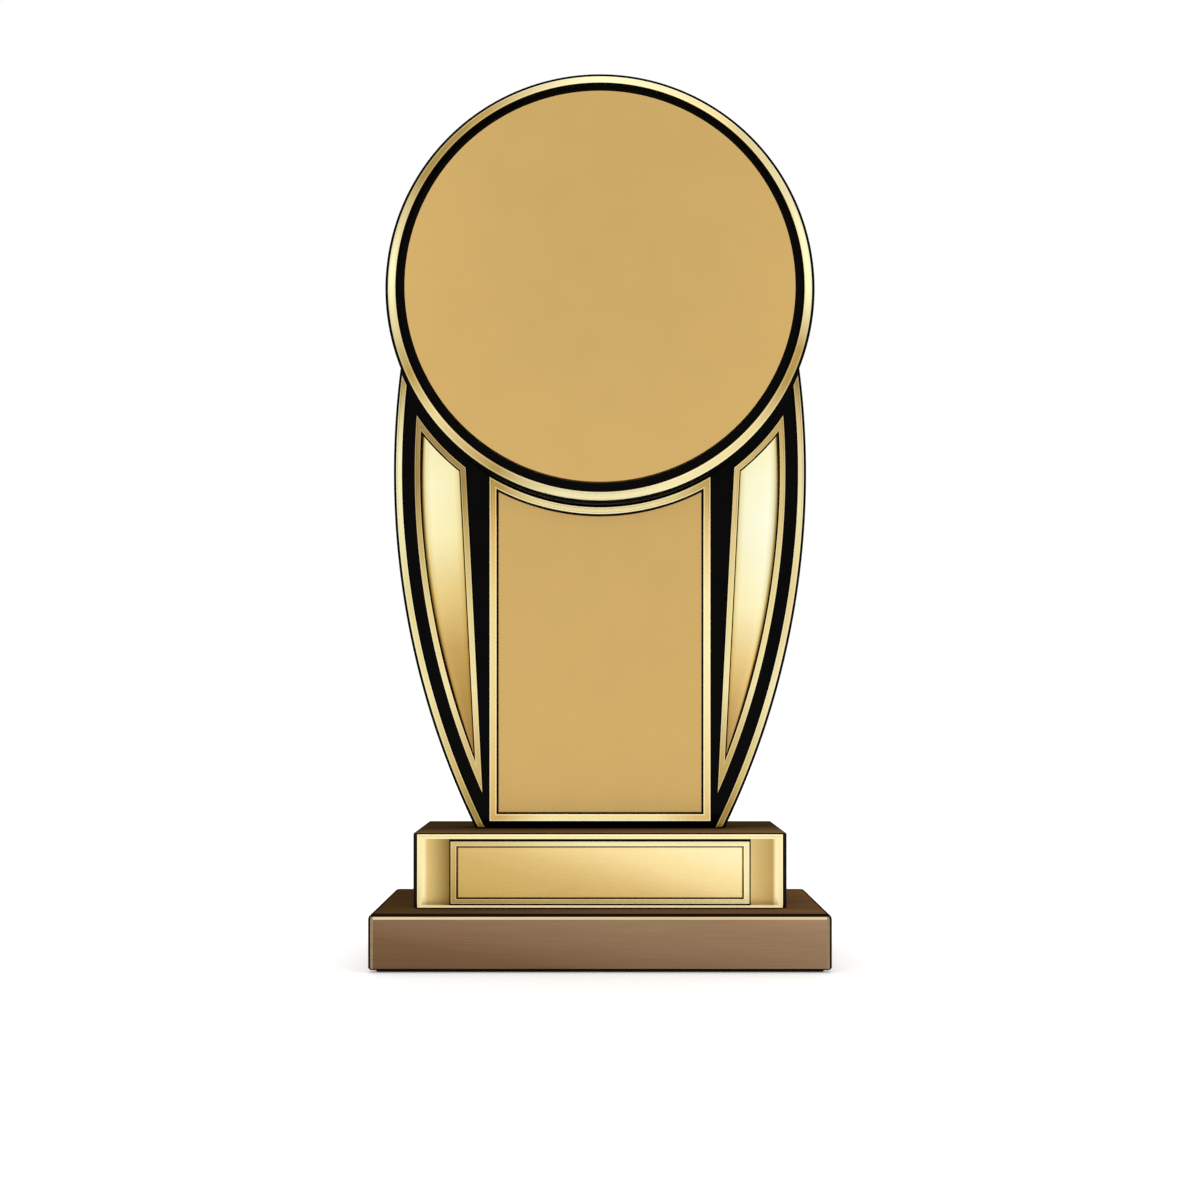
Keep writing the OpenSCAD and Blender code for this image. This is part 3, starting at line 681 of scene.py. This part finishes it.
low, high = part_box("body_board")
body_front, body_back = low.y, high.y
body_top = high.z
body_half = high.x
belly_z = plinth_top + belly_rise
side_radius = (belly_rise ** 2 + (body_half - foot_width / 2) ** 2) / (2 * body_half - foot_width)
side_centre = body_half - side_radius
head_radius = body_half + head_spread
head_centre = body_top - head_radius
disc_low, disc_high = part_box("disc_board")
disc_radius = disc_high.x
disc_z = (disc_low.z + disc_high.z) / 2


def arc(centre, radius, first, last, count):
    """Points on an arc about centre from the first angle to the last, both in radians."""
    return [
        (centre[0] + radius * math.cos(first + (last - first) * i / count),
         centre[1] + radius * math.sin(first + (last - first) * i / count))
        for i in range(count + 1)
    ]


def crossings(a, ra, b, rb):
    """The two points where circles of radius ra about a and rb about b cross, the lower one first."""
    dx, dz = b[0] - a[0], b[1] - a[1]
    apart = math.hypot(dx, dz)
    along = (ra ** 2 - rb ** 2 + apart ** 2) / (2 * apart)
    off = math.sqrt(ra ** 2 - along ** 2)
    middle = (a[0] + along * dx / apart, a[1] + along * dz / apart)
    found = [(middle[0] + s * off * dz / apart, middle[1] - s * off * dx / apart) for s in (-1, 1)]
    return sorted(found, key=lambda point: point[1])


def angle_at(centre, point):
    """The direction from centre to point, in radians."""
    return math.atan2(point[1] - centre[1], point[0] - centre[0])


def upright_outline(inset):
    """The upright's outline, anticlockwise from the foot's right-hand corner."""
    centre = (side_centre, belly_z)
    radius = side_radius - inset
    foot_z = plinth_top + inset
    corner = crossings(centre, radius, (0, head_centre), head_radius - inset)[1]
    foot_angle = -math.asin((belly_z - foot_z) / radius)
    right = arc(centre, radius, foot_angle, angle_at(centre, corner), side_points)
    turn = angle_at((0, head_centre), corner)
    head = arc((0, head_centre), head_radius - inset, turn, math.pi - turn, head_points)[1:-1]
    left = [(-px, pz) for px, pz in reversed(right)]
    return right + head + left


def lacquer(name, tone, size, gloss, roughness):
    """Black lacquer: hardly any colour, a clear gloss, and faint ripples of the given size."""
    material, tree, shader = principled(name, Specular_IOR_Level=gloss)
    ripples, waves = grain(tree, (size, size, size), 2, (0, 1))
    nib = (lacquer_dust, lacquer_dust, lacquer_dust)
    _, dust = grain(tree, nib, 4, (roughness - 0.05, roughness + 0.05))
    depth = add(tree, "ShaderNodeMix", {0: waves, 6: srgb(tone), 7: srgb("#070504")}, data_type="RGBA")
    relief = add(tree, "ShaderNodeBump", {"Height": ripples, "Strength": 0.12, "Distance": 0.05 * MM})
    tree.links.new(depth.outputs[2], shader.inputs["Base Color"])
    tree.links.new(dust, shader.inputs["Roughness"])
    tree.links.new(relief.outputs[0], shader.inputs["Normal"])
    return material


# Gloss lacquer, flatted and burnished: deep black, with a soft reflection that wavers a little
black_gloss = lacquer("black_gloss_lacquer", "#030202", 6 * MM, 0.035, 0.14)
# Lacquer cut back on the arrises: matt black, so the outline stays crisp
rubbed_black = lacquer("black_lacquer_rubbed_arris", "#0a0806", 3 * MM, 0.01, 0.5)
# Sprayed lacquer left unpolished on the backs: charcoal, satin, with an orange-peel surface
sprayed_black = lacquer("black_lacquer_satin_back", "#191512", 1.5 * MM, 0.3, 0.38)


def board_steps(thickness, arris, steps=4):
    """Steps from a board's back to its front, with a rounded arris at each face."""
    bend = rounded(arris, steps)
    return list(reversed(bend)) + [(inset, thickness - height) for inset, height in bend]


def drilled(piece, spots, radius, front, depth):
    """The piece with a round pocket cut at each (x, z) spot, from y = front - depth to beyond front."""
    for x, z in spots:
        ring = [[(px, y, pz) for px, pz in arc((x, z), radius, 0, 2 * math.pi, bore_points)[:-1]]
                for y in (front - depth, front + depth)]
        cutter = skin("cutter", ring, [0], [], caps=(0, 0))
        cut = piece.modifiers.new("pocket", "BOOLEAN")
        cut.object = cutter
        cut.operation = "DIFFERENCE"
        cut.solver = "EXACT"
        shaped = bpy.data.meshes.new_from_object(piece.evaluated_get(bpy.context.evaluated_depsgraph_get()))
        piece.modifiers.clear()
        piece.data = shaped
        bpy.data.objects.remove(cutter)
    piece.data.set_sharp_from_angle(angle=math.radians(32))
    return piece


steps = board_steps(body_back - body_front, board_arris)
rounds = (len(steps) - 2) // 2
bands = [1] * rounds + [0] + [1] * rounds
upright = mould("upright_board", upright_outline, body_back, steps, bands,
                [black_gloss, rubbed_black, sprayed_black], caps=(2, 0))
stud_angles = [math.radians(stud_turn + 120 * i) for i in range(3)]
stud_spots = [(stud_circle * math.cos(a), disc_z + stud_circle * math.sin(a)) for a in stud_angles]
fit(drilled(upright, stud_spots, pocket_radius, body_back, pocket_depth), "black_lacquer", "body_board")


# ---- Edge trims ---------------------------------------------------------------------------------
# Two slim gilt mouldings pinned along the upright's bowed edges. Each ends square above the plinth
# and runs in under the medallion's board. The bevels at both sides carry a painted highlight.

trim_margin = 1.0 * MM
trim_width = 2.0 * MM
trim_height = 1.5 * MM
trim_foot = 0.5 * MM
trim_fillet = 0.5 * MM
disc_clear = 0.6 * MM
arc_points = 64

trim_radius = side_radius - trim_margin


def trim_outline(inset):
    """The right-hand trim: its outer arc from the foot up, the disc's edge, then its inner arc down."""
    centre, disc = (side_centre, belly_z), (0, disc_z)
    foot_z = plinth_top + trim_foot + inset
    outer, inner = trim_radius - inset, trim_radius - trim_width + inset
    clear = disc_radius + disc_clear + inset
    chains = []
    for radius in (outer, inner):
        head = crossings(centre, radius, disc, clear)[0]
        foot = -math.asin((belly_z - foot_z) / radius)
        chains.append(arc(centre, radius, foot, angle_at(centre, head), arc_points))
    return chains[0] + list(reversed(chains[1]))


trim_steps = rail(trim_width, trim_height, trim_fillet)[:5]
trim_z = (plinth_top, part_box("edge_trim_right")[1].z)
trim_tones = {
    "left": [(0.0, "#957a38"), (0.05, "#9f8541"), (0.12, "#c9ad69"), (0.3, "#f0dfa0"), (0.52, "#e4d695"),
             (0.70, "#f7efb6"), (0.82, "#f8f1bc"), (0.90, "#e2d596"), (0.98, "#b79a57"), (1.0, "#a98c4b")],
    "right": [(0.0, "#957a38"), (0.05, "#a08141"), (0.12, "#d2b872"), (0.3, "#f1e3aa"), (0.52, "#e8d092"),
              (0.70, "#f1e4aa"), (0.82, "#ecd79b"), (0.90, "#d9bd80"), (0.98, "#a78a4c"), (1.0, "#9c7f42")],
}
for side, tones in trim_tones.items():
    rise = along((0, 0, trim_z[0]), (0, 0, trim_z[1]))
    # Satin gilt crest, painted light: old gold at both ends of the trim and pale gold between, a little
    # different on each side
    crest = gilt("gilt_edge_trim_" + side, rise, tones)
    # Cut bevels: the same run, lifted to a painted highlight beside the crest
    cut = gilt("gilt_edge_trim_painted_highlight_" + side, rise, tones, roughness=0.15, lift=0.7)
    trim = mould("edge_moulding_" + side, trim_outline, body_front, trim_steps, rail_bands[:4],
                 [crest, cut], caps=(0, 0), mirror=side == "left")
    fit(trim, "gilt_bright", "edge_trim_" + side)


# ---- Side frames --------------------------------------------------------------------------------
# A gilt moulding on each side of the centre: bowed outside, cut to the medallion's curve above, and
# straight but leaning outwards inside. Both its bevelled edges carry a painted highlight, and the crest is
# satin.

centre_width = 75.6 * MM
centre_foot = 2.6 * MM
side_band = 4.3 * MM
side_gap = 2.0 * MM
side_lean = math.radians(2.9)
side_rail = 1.9 * MM
side_frame_height = 1.6 * MM
side_fillet = 0.5 * MM
side_disc_gap = 2.6 * MM
rail_points = 24
brow_points = 24

side_frame_radius = trim_radius - trim_width - side_band
centre_z = plinth_top + centre_foot


def rail_x(z):
    """The straight rail's outer edge at height z."""
    return centre_width / 2 + side_gap + (z - centre_z) * math.tan(side_lean)


def rail_meets(centre, radius, shift, upper):
    """Where the rail's line, moved outwards by shift, crosses a circle: its upper or lower crossing."""
    slope = math.tan(side_lean)
    start = rail_x(centre[1]) + shift / math.cos(side_lean) - centre[0]
    a, b, c = 1 + slope ** 2, start * slope, start ** 2 - radius ** 2
    root = math.sqrt(b * b - a * c)
    rise = (-b + root) / a if upper else (-b - root) / a
    return centre[0] + start + slope * rise, centre[1] + rise


def side_corners(inset):
    """The tip, the upper outer corner and the upper inner corner of the side outline."""
    bow, disc = (side_centre, belly_z), (0, disc_z)
    radius, clear = side_frame_radius - inset, disc_radius + side_disc_gap + inset
    tip = rail_meets(bow, radius, inset, False)
    outer = crossings(bow, radius, disc, clear)[0]
    inner = rail_meets(disc, clear, inset, False)
    return tip, outer, inner


def side_outline(inset):
    """The side frame's outline, anticlockwise from its tip: bow, brow under the disc, and rail."""
    bow, disc = (side_centre, belly_z), (0, disc_z)
    tip, outer, inner = side_corners(inset)
    points = arc(bow, side_frame_radius - inset, angle_at(bow, tip), angle_at(bow, outer), arc_points)
    clear = disc_radius + side_disc_gap + inset
    brow = arc(disc, clear, angle_at(disc, outer), angle_at(disc, inner), brow_points)
    rail = [
        (inner[0] + (tip[0] - inner[0]) * i / rail_points, inner[1] + (tip[1] - inner[1]) * i / rail_points)
        for i in range(1, rail_points)
    ]
    return points + brow[1:] + rail


frame_low, frame_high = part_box("side_frame_right")
side_z = (frame_low.z, frame_high.z)
side_tones = {
    "left": [(0.0, "#c2a765"), (0.1, "#cdb473"), (0.28, "#f2dfa2"), (0.5, "#e2cf8c"), (0.68, "#c9ac69"),
             (0.82, "#a5874e"), (1.0, "#a78a50")],
    "right": [(0.0, "#b49a58"), (0.1, "#c3a965"), (0.28, "#f0dfa3"), (0.5, "#ead892"), (0.68, "#e2ca8a"),
              (0.82, "#dcc07c"), (1.0, "#bfa05a")],
}
for side, tones in side_tones.items():
    rise = along((0, 0, side_z[0]), (0, 0, side_z[1]))
    # Satin gilt crest, painted light: deep gold under the disc, pale in its lower third; the left one
    # painted darker as shade
    crest = gilt("gilt_side_frame_" + side, rise, tones)
    # Cut bevels: the same run, lifted to two lines of painted highlight
    cut = gilt("gilt_side_frame_painted_highlight_" + side, rise, tones, roughness=0.15, lift=0.72)
    section = rail(side_rail, side_frame_height, side_fillet)
    moulding = mould("side_moulding_" + side, side_outline, body_front, section, rail_bands, [crest, cut],
                     closed=True, mirror=side == "left")
    fit(moulding, "gilt_bright", "side_frame_" + side)


# ---- Side panels --------------------------------------------------------------------------------
# A crowned gilt panel inside each side frame, painted with a highlight at its head and with shade
# deepening towards its tip. It rises steeply from the bowed edge and falls gently to the straight one.

side_line = 0.4 * MM
panel_edge = 0.8 * MM
panel_crown = 1.0 * MM
crown_place = 0.38
panel_arris = 0.12 * MM
across_points = 28
up_points = 96


def panel_point(u, v, inset):
    """A place on the panel: u from the bow to the rail, v from the tip to the brow."""
    bow, disc = (side_centre, belly_z), (0, disc_z)
    tip, outer, inner = side_corners(inset)
    first, last = angle_at(bow, tip), angle_at(bow, outer)
    swing = first + (last - first) * v
    radius = side_frame_radius - inset
    left = Vector((bow[0] + radius * math.cos(swing), bow[1] + radius * math.sin(swing)))
    right = Vector(tip).lerp(Vector(inner), v)
    turn = angle_at(disc, outer) + (angle_at(disc, inner) - angle_at(disc, outer)) * u
    clear = disc_radius + side_disc_gap + inset
    brow = Vector((clear * math.cos(turn), disc_z + clear * math.sin(turn)))
    return left.lerp(right, u) + (brow - Vector(outer).lerp(Vector(inner), u)) * v ** 4


def crown(u, v):
    """The panel's height above its edge: steep at the bow, gentle at the rail, and lower near the tip."""
    rise = math.sin(math.pi * u ** (math.log(0.5) / math.log(crown_place)))
    return panel_crown * max(rise, 0) * min(1, 4 * v)


def crowned_panel(name, mirror, materials):
    """The panel as a grid of its crowned face, with an arris, walls and a flat back."""
    side = -1 if mirror else 1
    edge = side_rail + side_line
    rim, face_inset = edge, edge + panel_arris
    points, faces, indices, across = [], [], [], []
    for row in range(up_points + 1):
        for column in range(across_points + 1):
            u, v = column / across_points, row / up_points
            across.append(u)
            place = panel_point(u, v, face_inset)
            points.append((side * place.x, body_front - panel_edge - crown(u, v), place.y))
    width = across_points + 1
    for row in range(up_points):
        for column in range(across_points):
            corner = row * width + column
            faces.append((corner, corner + 1, corner + width + 1, corner + width))
            indices.append(0)
    border = [row * width for row in range(up_points + 1)]
    border += [up_points * width + column for column in range(1, width)]
    border += [row * width + width - 1 for row in range(up_points - 1, 0, -1)]
    places = [(0, row / up_points) for row in range(up_points + 1)]
    places += [(column / across_points, 1) for column in range(1, width)]
    places += [(1, row / up_points) for row in range(up_points - 1, 0, -1)]
    previous = border
    for inset, height in ((rim, panel_edge - panel_arris), (rim, 0)):
        start = len(points)
        for u, v in places:
            across.append(u)
            place = panel_point(u, v, inset)
            points.append((side * place.x, body_front - height, place.y))
        ring = list(range(start, len(points)))
        for i in range(len(ring)):
            j = (i + 1) % len(ring)
            faces.append((previous[i], previous[j], ring[j], ring[i]))
            indices.append(1)
        previous = ring
    faces.append(tuple(previous))
    indices.append(1)
    return surface_object(name, points, faces, materials, indices, marks={"across": across})


panel_low, panel_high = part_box("side_panel_right")
panel_z = (panel_low.z, panel_high.z)
panel_tones = {
    "left": [(0.0, "#9f7c48"), (0.18, "#b59250"), (0.33, "#caa762"), (0.5, "#ebd08b"), (0.68, "#fcf2bc"),
             (0.84, "#fef7ca"), (1.0, "#f8ecb8")],
    "right": [(0.0, "#a88450"), (0.18, "#d2b06e"), (0.3, "#ecd08f"), (0.46, "#fff6c4"), (0.7, "#fffee0"),
              (0.86, "#fffedb"), (1.0, "#fbf2bc")],
}
across_shade_run = [(0.0, "#94886a"), (0.05, "#a99c7e"), (0.1, "#dcd5c4"), (0.15, "#f4f1e8"), (0.24, "#ffffff"),
              (0.85, "#fcf9f0"), (0.97, "#efe6d0"), (1.0, "#d8c9a4")]


def crowned(tree, stops):
    """A painted light that runs up the panel, with painted shade along its bowed edge where the crown
    starts.
    """
    up = gradient(tree, (0, 0, panel_z[0]), (0, 0, panel_z[1]), stops)
    across = add(tree, "ShaderNodeAttribute", attribute_type="GEOMETRY", attribute_name="across")
    shade = add(tree, "ShaderNodeValToRGB", {"Fac": across.outputs["Fac"]}, across_shade_run)
    deepened = add(tree, "ShaderNodeMix", {0: 1.0, 6: up, 7: shade.outputs["Color"]}, data_type="RGBA",
                   blend_type="MULTIPLY")
    return deepened.outputs[2]


for side, tones in panel_tones.items():
    # Polished gilt painted with light: nearly white at the head, warm gold at the tip, and brown painted
    # shade where the crown turns off; the right one painted brighter
    polished = gilt("gilt_mirror_panel_" + side, crowned, tones, wander=0.02)
    # The panel's polished arris and walls: the same run, a little brighter as a painted highlight
    cut = gilt("gilt_mirror_panel_cut_" + side, crowned, tones, roughness=0.15, wander=0.02, lift=0.75)
    panel = crowned_panel("crowned_panel_" + side, side == "left", [polished, cut])
    fit(panel, "gilt_bright", "side_panel_" + side)


# ---- Centre frame and centre plate --------------------------------------------------------------
# A gilt moulding whose top is scooped to the medallion's curve, round a flat blank plate. The plate
# is finely sandblasted, so it stays one even tone, and a black line parts it from the frame.

centre_rail = 2.4 * MM
centre_frame_height = 1.8 * MM
centre_fillet = 0.62 * MM
centre_line = 0.6 * MM
centre_plate_height = 1.0 * MM
plate_round = 0.15 * MM
scoop_points = 40
sandblast = 0.4 * MM  # the grit is about 0.1 mm; drawn so that it shows


def centre_outline(inset):
    """The centre frame's outline, anticlockwise from its lower left corner, scooped along its top."""
    x = centre_width / 2 - inset
    reach = disc_radius + disc_clear + inset
    turn = math.acos(x / reach)
    scoop = arc((0, disc_z), reach, -turn, turn - math.pi, scoop_points)
    return [(-x, centre_z + inset), (x, centre_z + inset)] + scoop


frame_low, frame_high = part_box("centre_frame")
# Painted light on the centre frame: up the rails, painted shade on the left, and a painted highlight along
# the lying rails
centre_rise = [(0.0, "#d9b872"), (0.14, "#ebd18b"), (0.32, "#f9e6a4"), (0.5, "#fcefae"), (0.66, "#fae9a4"),
               (0.8, "#efd089"), (0.92, "#d4b469"), (1.0, "#bd9d57")]
centre_span = [(0.0, "#f3ecdc"), (0.06, "#f3ecdc"), (0.5, "#fffdf6"), (1.0, "#ffffff")]
centre_lying = [(0.05, "#000000"), (0.25, "#ffffff"), (0.75, "#ffffff"), (0.95, "#000000")]
lying_tone = "#f3e0a0"


def centre_fall(tree, stops):
    """A painted light that runs up both upright rails, with painted shade on the left, and a painted
    highlight along the lying ones.
    """
    up = gradient(tree, (0, 0, frame_low.z), (0, 0, frame_high.z), stops)
    over = gradient(tree, (frame_low.x, 0, 0), (frame_high.x, 0, 0), centre_span)
    middle = gradient(tree, (frame_low.x, 0, 0), (frame_high.x, 0, 0), centre_lying)
    both = add(tree, "ShaderNodeMix", {0: 1.0, 6: up, 7: over}, data_type="RGBA", blend_type="MULTIPLY")
    whole = add(tree, "ShaderNodeMix", {0: middle, 6: both.outputs[2], 7: srgb(lying_tone)},
                data_type="RGBA")
    return whole.outputs[2]


# Satin gilt crest of the frame, painted light: brightest half way up and along the lying rails
centre_gilt = gilt("gilt_centre_frame", centre_fall, centre_rise)
# Its cut edges: the same tones, lifted to a painted highlight on each side
centre_cut = gilt("gilt_centre_frame_painted_highlight", centre_fall, centre_rise, roughness=0.15, lift=0.6)
section = rail(centre_rail, centre_frame_height, centre_fillet)
centre_moulding = mould("centre_moulding", centre_outline, body_front, section, rail_bands,
                        [centre_gilt, centre_cut], closed=True)
fit(centre_moulding, "gilt_bright", "centre_frame")

blasted_run = [(0, "#d1ad6b"), (0.4, "#ceab6a"), (1, "#ceab6a")]
grit = (sandblast, sandblast, sandblast)
# Sandblasted gilt: one even, deep gold without a highlight, faintly grainy
satin_gilt = gilt("gilt_sandblasted", along((0, 0, plinth_top), (0, 0, body_top)), blasted_run,
                  roughness=0.45, brush=grit, wander=0.02)
plate_edge = centre_rail + centre_line
plate_steps = [(plate_edge, 0), (plate_edge, centre_plate_height - plate_round),
               (plate_edge + plate_round, centre_plate_height)]
centre_plate = mould("centre_plate_blank", centre_outline, body_front, plate_steps, [0, 0], [satin_gilt],
                     caps=(0, 0))
fit(centre_plate, "gilt_satin", "centre_plate")


# ---- Round board and ring -----------------------------------------------------------------------
# A round board in the same black lacquer stands in front of the upright's head. The gilt ring on it
# is turned and polished, and its crest carries a painted reflection, pale and deep by turns round the
# circle.

round_arris = 0.15 * MM
ring_margin = 0.95 * MM
ring_width = 2.7 * MM
ring_height = 2.4 * MM
ring_foot = 0.6 * MM
ring_fillet = 0.5 * MM
circle_points = 256

board_front, board_back = disc_low.y, disc_high.y


def circle(radius):
    """A circle about the disc's centre, as a function of the inset."""
    return lambda inset: arc((0, disc_z), radius - inset, 0, 2 * math.pi, circle_points)[:-1]


steps = board_steps(board_back - board_front, round_arris)
round_board = mould("round_board", circle(disc_radius), board_back, steps, [1] * (len(steps) - 1),
                    [black_gloss, rubbed_black, sprayed_black], caps=(2, 0))
fit(round_board, "black_lacquer", "disc_board")

pale_gold = "#f2e8b4"
warm_gold = "#e0cb8e"
old_gold = "#aa8d4c"
# Stands in for the reflections in a polished ring: pale and old gold by turns, unevenly round the circle
ring_tones = [
    (0, pale_gold), (17, old_gold), (27, old_gold), (42, warm_gold), (80, pale_gold), (100, pale_gold),
    (120, old_gold), (142, warm_gold), (156, old_gold), (184, pale_gold), (212, old_gold), (238, old_gold),
    (268, pale_gold), (308, warm_gold), (350, pale_gold), (360, pale_gold),
]


def swept(tree, stops):
    """A tone that runs once clockwise round the ring, from its right, by (degrees, hex colour)."""
    place = add(tree, "ShaderNodeTexCoord")
    local = add(tree, "ShaderNodeVectorMath", {0: place.outputs["Object"], 1: (0, 0, disc_z)},
                operation="SUBTRACT")
    axes = add(tree, "ShaderNodeSeparateXYZ", {0: local.outputs[0]})
    down = add(tree, "ShaderNodeMath", {0: axes.outputs["Z"], 1: -1.0}, operation="MULTIPLY")
    angle = add(tree, "ShaderNodeMath", {0: down.outputs[0], 1: axes.outputs["X"]}, operation="ARCTAN2")
    turns = add(tree, "ShaderNodeMath", {0: angle.outputs[0], 1: 2 * math.pi}, operation="DIVIDE")
    share = add(tree, "ShaderNodeMath", {0: turns.outputs[0]}, operation="FRACT")
    turned = [(degrees / 360, code) for degrees, code in stops]
    return add(tree, "ShaderNodeValToRGB", {"Fac": share.outputs[0]}, turned).outputs["Color"]


# Gilt turned on the lathe and polished, with a painted reflection: pale and old gold by turns round the
# crest
ring_gilt = gilt("gilt_turned_ring", swept, ring_tones, wander=0.02)
# The ring's two cut fillets: the same tones, lifted to a painted highlight
ring_cut = gilt("gilt_turned_ring_painted_highlight", swept, ring_tones, roughness=0.15, wander=0.02, lift=0.75)
ring_slope = (ring_height - ring_foot) / (ring_width - fillet_round)
outer_fillet = ring_foot + ring_slope * ring_fillet
inner_fillet = ring_height - ring_slope * ring_fillet
ring_steps = [
    (0, 0), (0, ring_foot - fillet_round), (fillet_round, ring_foot), (ring_fillet, outer_fillet),
    (ring_fillet + crest_sink, outer_fillet),
    (ring_width - ring_fillet - crest_sink, inner_fillet - crest_sink),
    (ring_width - ring_fillet, inner_fillet), (ring_width - fillet_round, ring_height),
    (ring_width, ring_height - fillet_round), (ring_width, 0),
]
ring = mould("ring_moulding", circle(disc_radius - ring_margin), board_front, ring_steps,
             [0, 1, 1, 0, 0, 0, 1, 1, 0, 0], [ring_gilt, ring_cut], closed=True)
fit(ring, "gilt_bright", "disc_ring")


# ---- Medallion ----------------------------------------------------------------------------------
# A thick blank disc with the same sandblasted gilt face as the centre plate. Three threaded studs
# soldered to its back pass through both boards into the pockets behind.

medal_gap = 3.2 * MM
medal_height = 4.0 * MM
medal_arris = 0.35 * MM
medal_bend = medal_arris * 0.3
stud_radius = 2.0 * MM
stud_reach = 23.5 * MM
stud_pitch = 0.7 * MM
thread_depth = 0.25 * MM
thread_points = 32
stud_bevel = 0.1 * MM

medal_radius = disc_radius - ring_margin - ring_width - medal_gap
medal_steps = [(0, 0), (0, medal_height - medal_arris), (medal_bend, medal_height - medal_bend),
               (medal_arris, medal_height)]
medallion = mould("medallion_blank", circle(medal_radius), board_front, medal_steps, [0, 0, 0],
                  [satin_gilt], caps=(0, 0))
fit(medallion, "gilt_satin", "medallion")


# ---- Studs, washers and nuts in the back --------------------------------------------------------
# Each stud ends in a flat washer and a hexagon nut in its pocket, all zinc-plated. One of each is
# made, and one Geometry Nodes tree sets it out three times on the stud circle.

washer_radius = 4.4 * MM
washer_bore = 2.25 * MM
nut_radius = 4.04 * MM
nut_bore = 2.05 * MM
nut_face = 3.4 * MM
nut_points = 48
washer_rounding = 0.12 * MM
countersink = 0.3 * MM
thread_turns = 10

nut_low, nut_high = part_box("medallion_nuts")
washer_low, washer_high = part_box("medallion_washers")


def lathe(profile, count, shape=None):
    """Loops about the Y axis from (radius, y) points; shape gives a radius and y at each angle."""
    loops = []
    for radius, y in profile:
        loop = []
        for i in range(count):
            angle = 2 * math.pi * i / count
            r, depth = shape(radius, y, angle) if shape else (radius, y)
            loop.append((r * math.cos(angle), depth, r * math.sin(angle)))
        loops.append(loop)
    return loops


def hexagon(radius, y, angle):
    """Spreads the nut's outer loops to its hexagon, and chamfers its corners."""
    if radius < nut_radius:
        return radius, y
    flat = nut_radius * math.cos(math.pi / 6)
    reach = flat / math.cos((angle % (math.pi / 3)) - math.pi / 6)
    drop = max(0, reach - nut_face) * math.tan(math.pi / 6)
    return reach, y + drop if y < (nut_low.y + nut_high.y) / 2 else y - drop


def set_out_tree():
    """A Geometry Nodes tree that copies its input to Count places on a circle in the X-Z plane."""
    tree = bpy.data.node_groups.new("set_out_on_stud_circle", "GeometryNodeTree")
    sockets = {
        "Geometry": "Geometry", "Count": "Int", "Radius": "Float", "Centre": "Vector", "Finish": "Material",
    }
    for name, kind in sockets.items():
        tree.interface.new_socket(name, in_out="INPUT", socket_type="NodeSocket" + kind)
    tree.interface.new_socket("Geometry", in_out="OUTPUT", socket_type="NodeSocketGeometry")
    given = add(tree, "NodeGroupInput").outputs
    ring = add(tree, "GeometryNodeMeshCircle", {"Vertices": given["Count"], "Radius": given["Radius"]})
    upright = add(tree, "GeometryNodeTransform", {
        "Geometry": ring.outputs[0], "Translation": given["Centre"],
        "Rotation": (math.radians(90), math.radians(-stud_turn), 0),
    })
    copies = add(tree, "GeometryNodeInstanceOnPoints", {
        "Points": upright.outputs[0], "Instance": given["Geometry"],
    })
    real = add(tree, "GeometryNodeRealizeInstances", {"Geometry": copies.outputs[0]})
    dressed = add(tree, "GeometryNodeSetMaterial", {
        "Geometry": real.outputs[0], "Material": given["Finish"],
    })
    add(tree, "NodeGroupOutput", {"Geometry": dressed.outputs[0]})
    return tree


set_out = set_out_tree()


def three_of(piece):
    """The piece, copied to the three studs as one plain mesh."""
    modifier = piece.modifiers.new("set_out", "NODES")
    modifier.node_group = set_out
    values = {"Count": 3, "Radius": stud_circle, "Centre": (0, 0, disc_z), "Finish": zinc_plate}
    for item in set_out.interface.items_tree:
        if item.in_out == "INPUT" and item.name in values:
            modifier[item.identifier] = values[item.name]
    piece.data = bpy.data.meshes.new_from_object(piece.evaluated_get(bpy.context.evaluated_depsgraph_get()))
    piece.modifiers.clear()
    piece.data.set_sharp_from_angle(angle=math.radians(32))
    return piece


middle = (washer_low.y, washer_high.y)
flat = washer_radius - washer_rounding
washer_profile = [
    (washer_bore, middle[0]), (flat, middle[0]), (washer_radius, middle[0] + washer_rounding),
    (washer_radius, middle[1] - washer_rounding), (flat, middle[1]), (washer_bore, middle[1]),
]
washers = skin("stud_washers", lathe(washer_profile, nut_points), [0] * 6, [zinc_plate], closed=True)
fit(three_of(washers), "zinc_steel", "medallion_washers")

nut_profile = [
    (nut_bore, nut_low.y + countersink), (nut_bore + countersink, nut_low.y), (nut_face, nut_low.y),
    (nut_radius, nut_low.y), (nut_radius, nut_high.y), (nut_face, nut_high.y),
    (nut_bore + countersink, nut_high.y), (nut_bore, nut_high.y - countersink),
]
nuts = skin("stud_nuts", lathe(nut_profile, nut_points, hexagon), [0] * 8, [zinc_plate], closed=True,
            crease=20)
fit(three_of(nuts), "zinc_steel", "medallion_nuts")

stud_end = board_front + stud_reach
stud_profile = [(stud_radius - thread_depth, board_front + MM)]
for i in range(thread_turns):
    start = stud_end - (thread_turns - i) * stud_pitch
    stud_profile += [(stud_radius - thread_depth, start), (stud_radius, start + stud_pitch / 2)]
stud_profile += [
    (stud_radius - thread_depth, stud_end - stud_bevel), (stud_radius - 2 * thread_depth, stud_end),
]
studs = skin("medallion_studs", lathe(stud_profile, thread_points), [0] * (len(stud_profile) - 1),
             [zinc_plate], caps=(0, 0), crease=25)
fit(three_of(studs), "zinc_steel", "medallion")
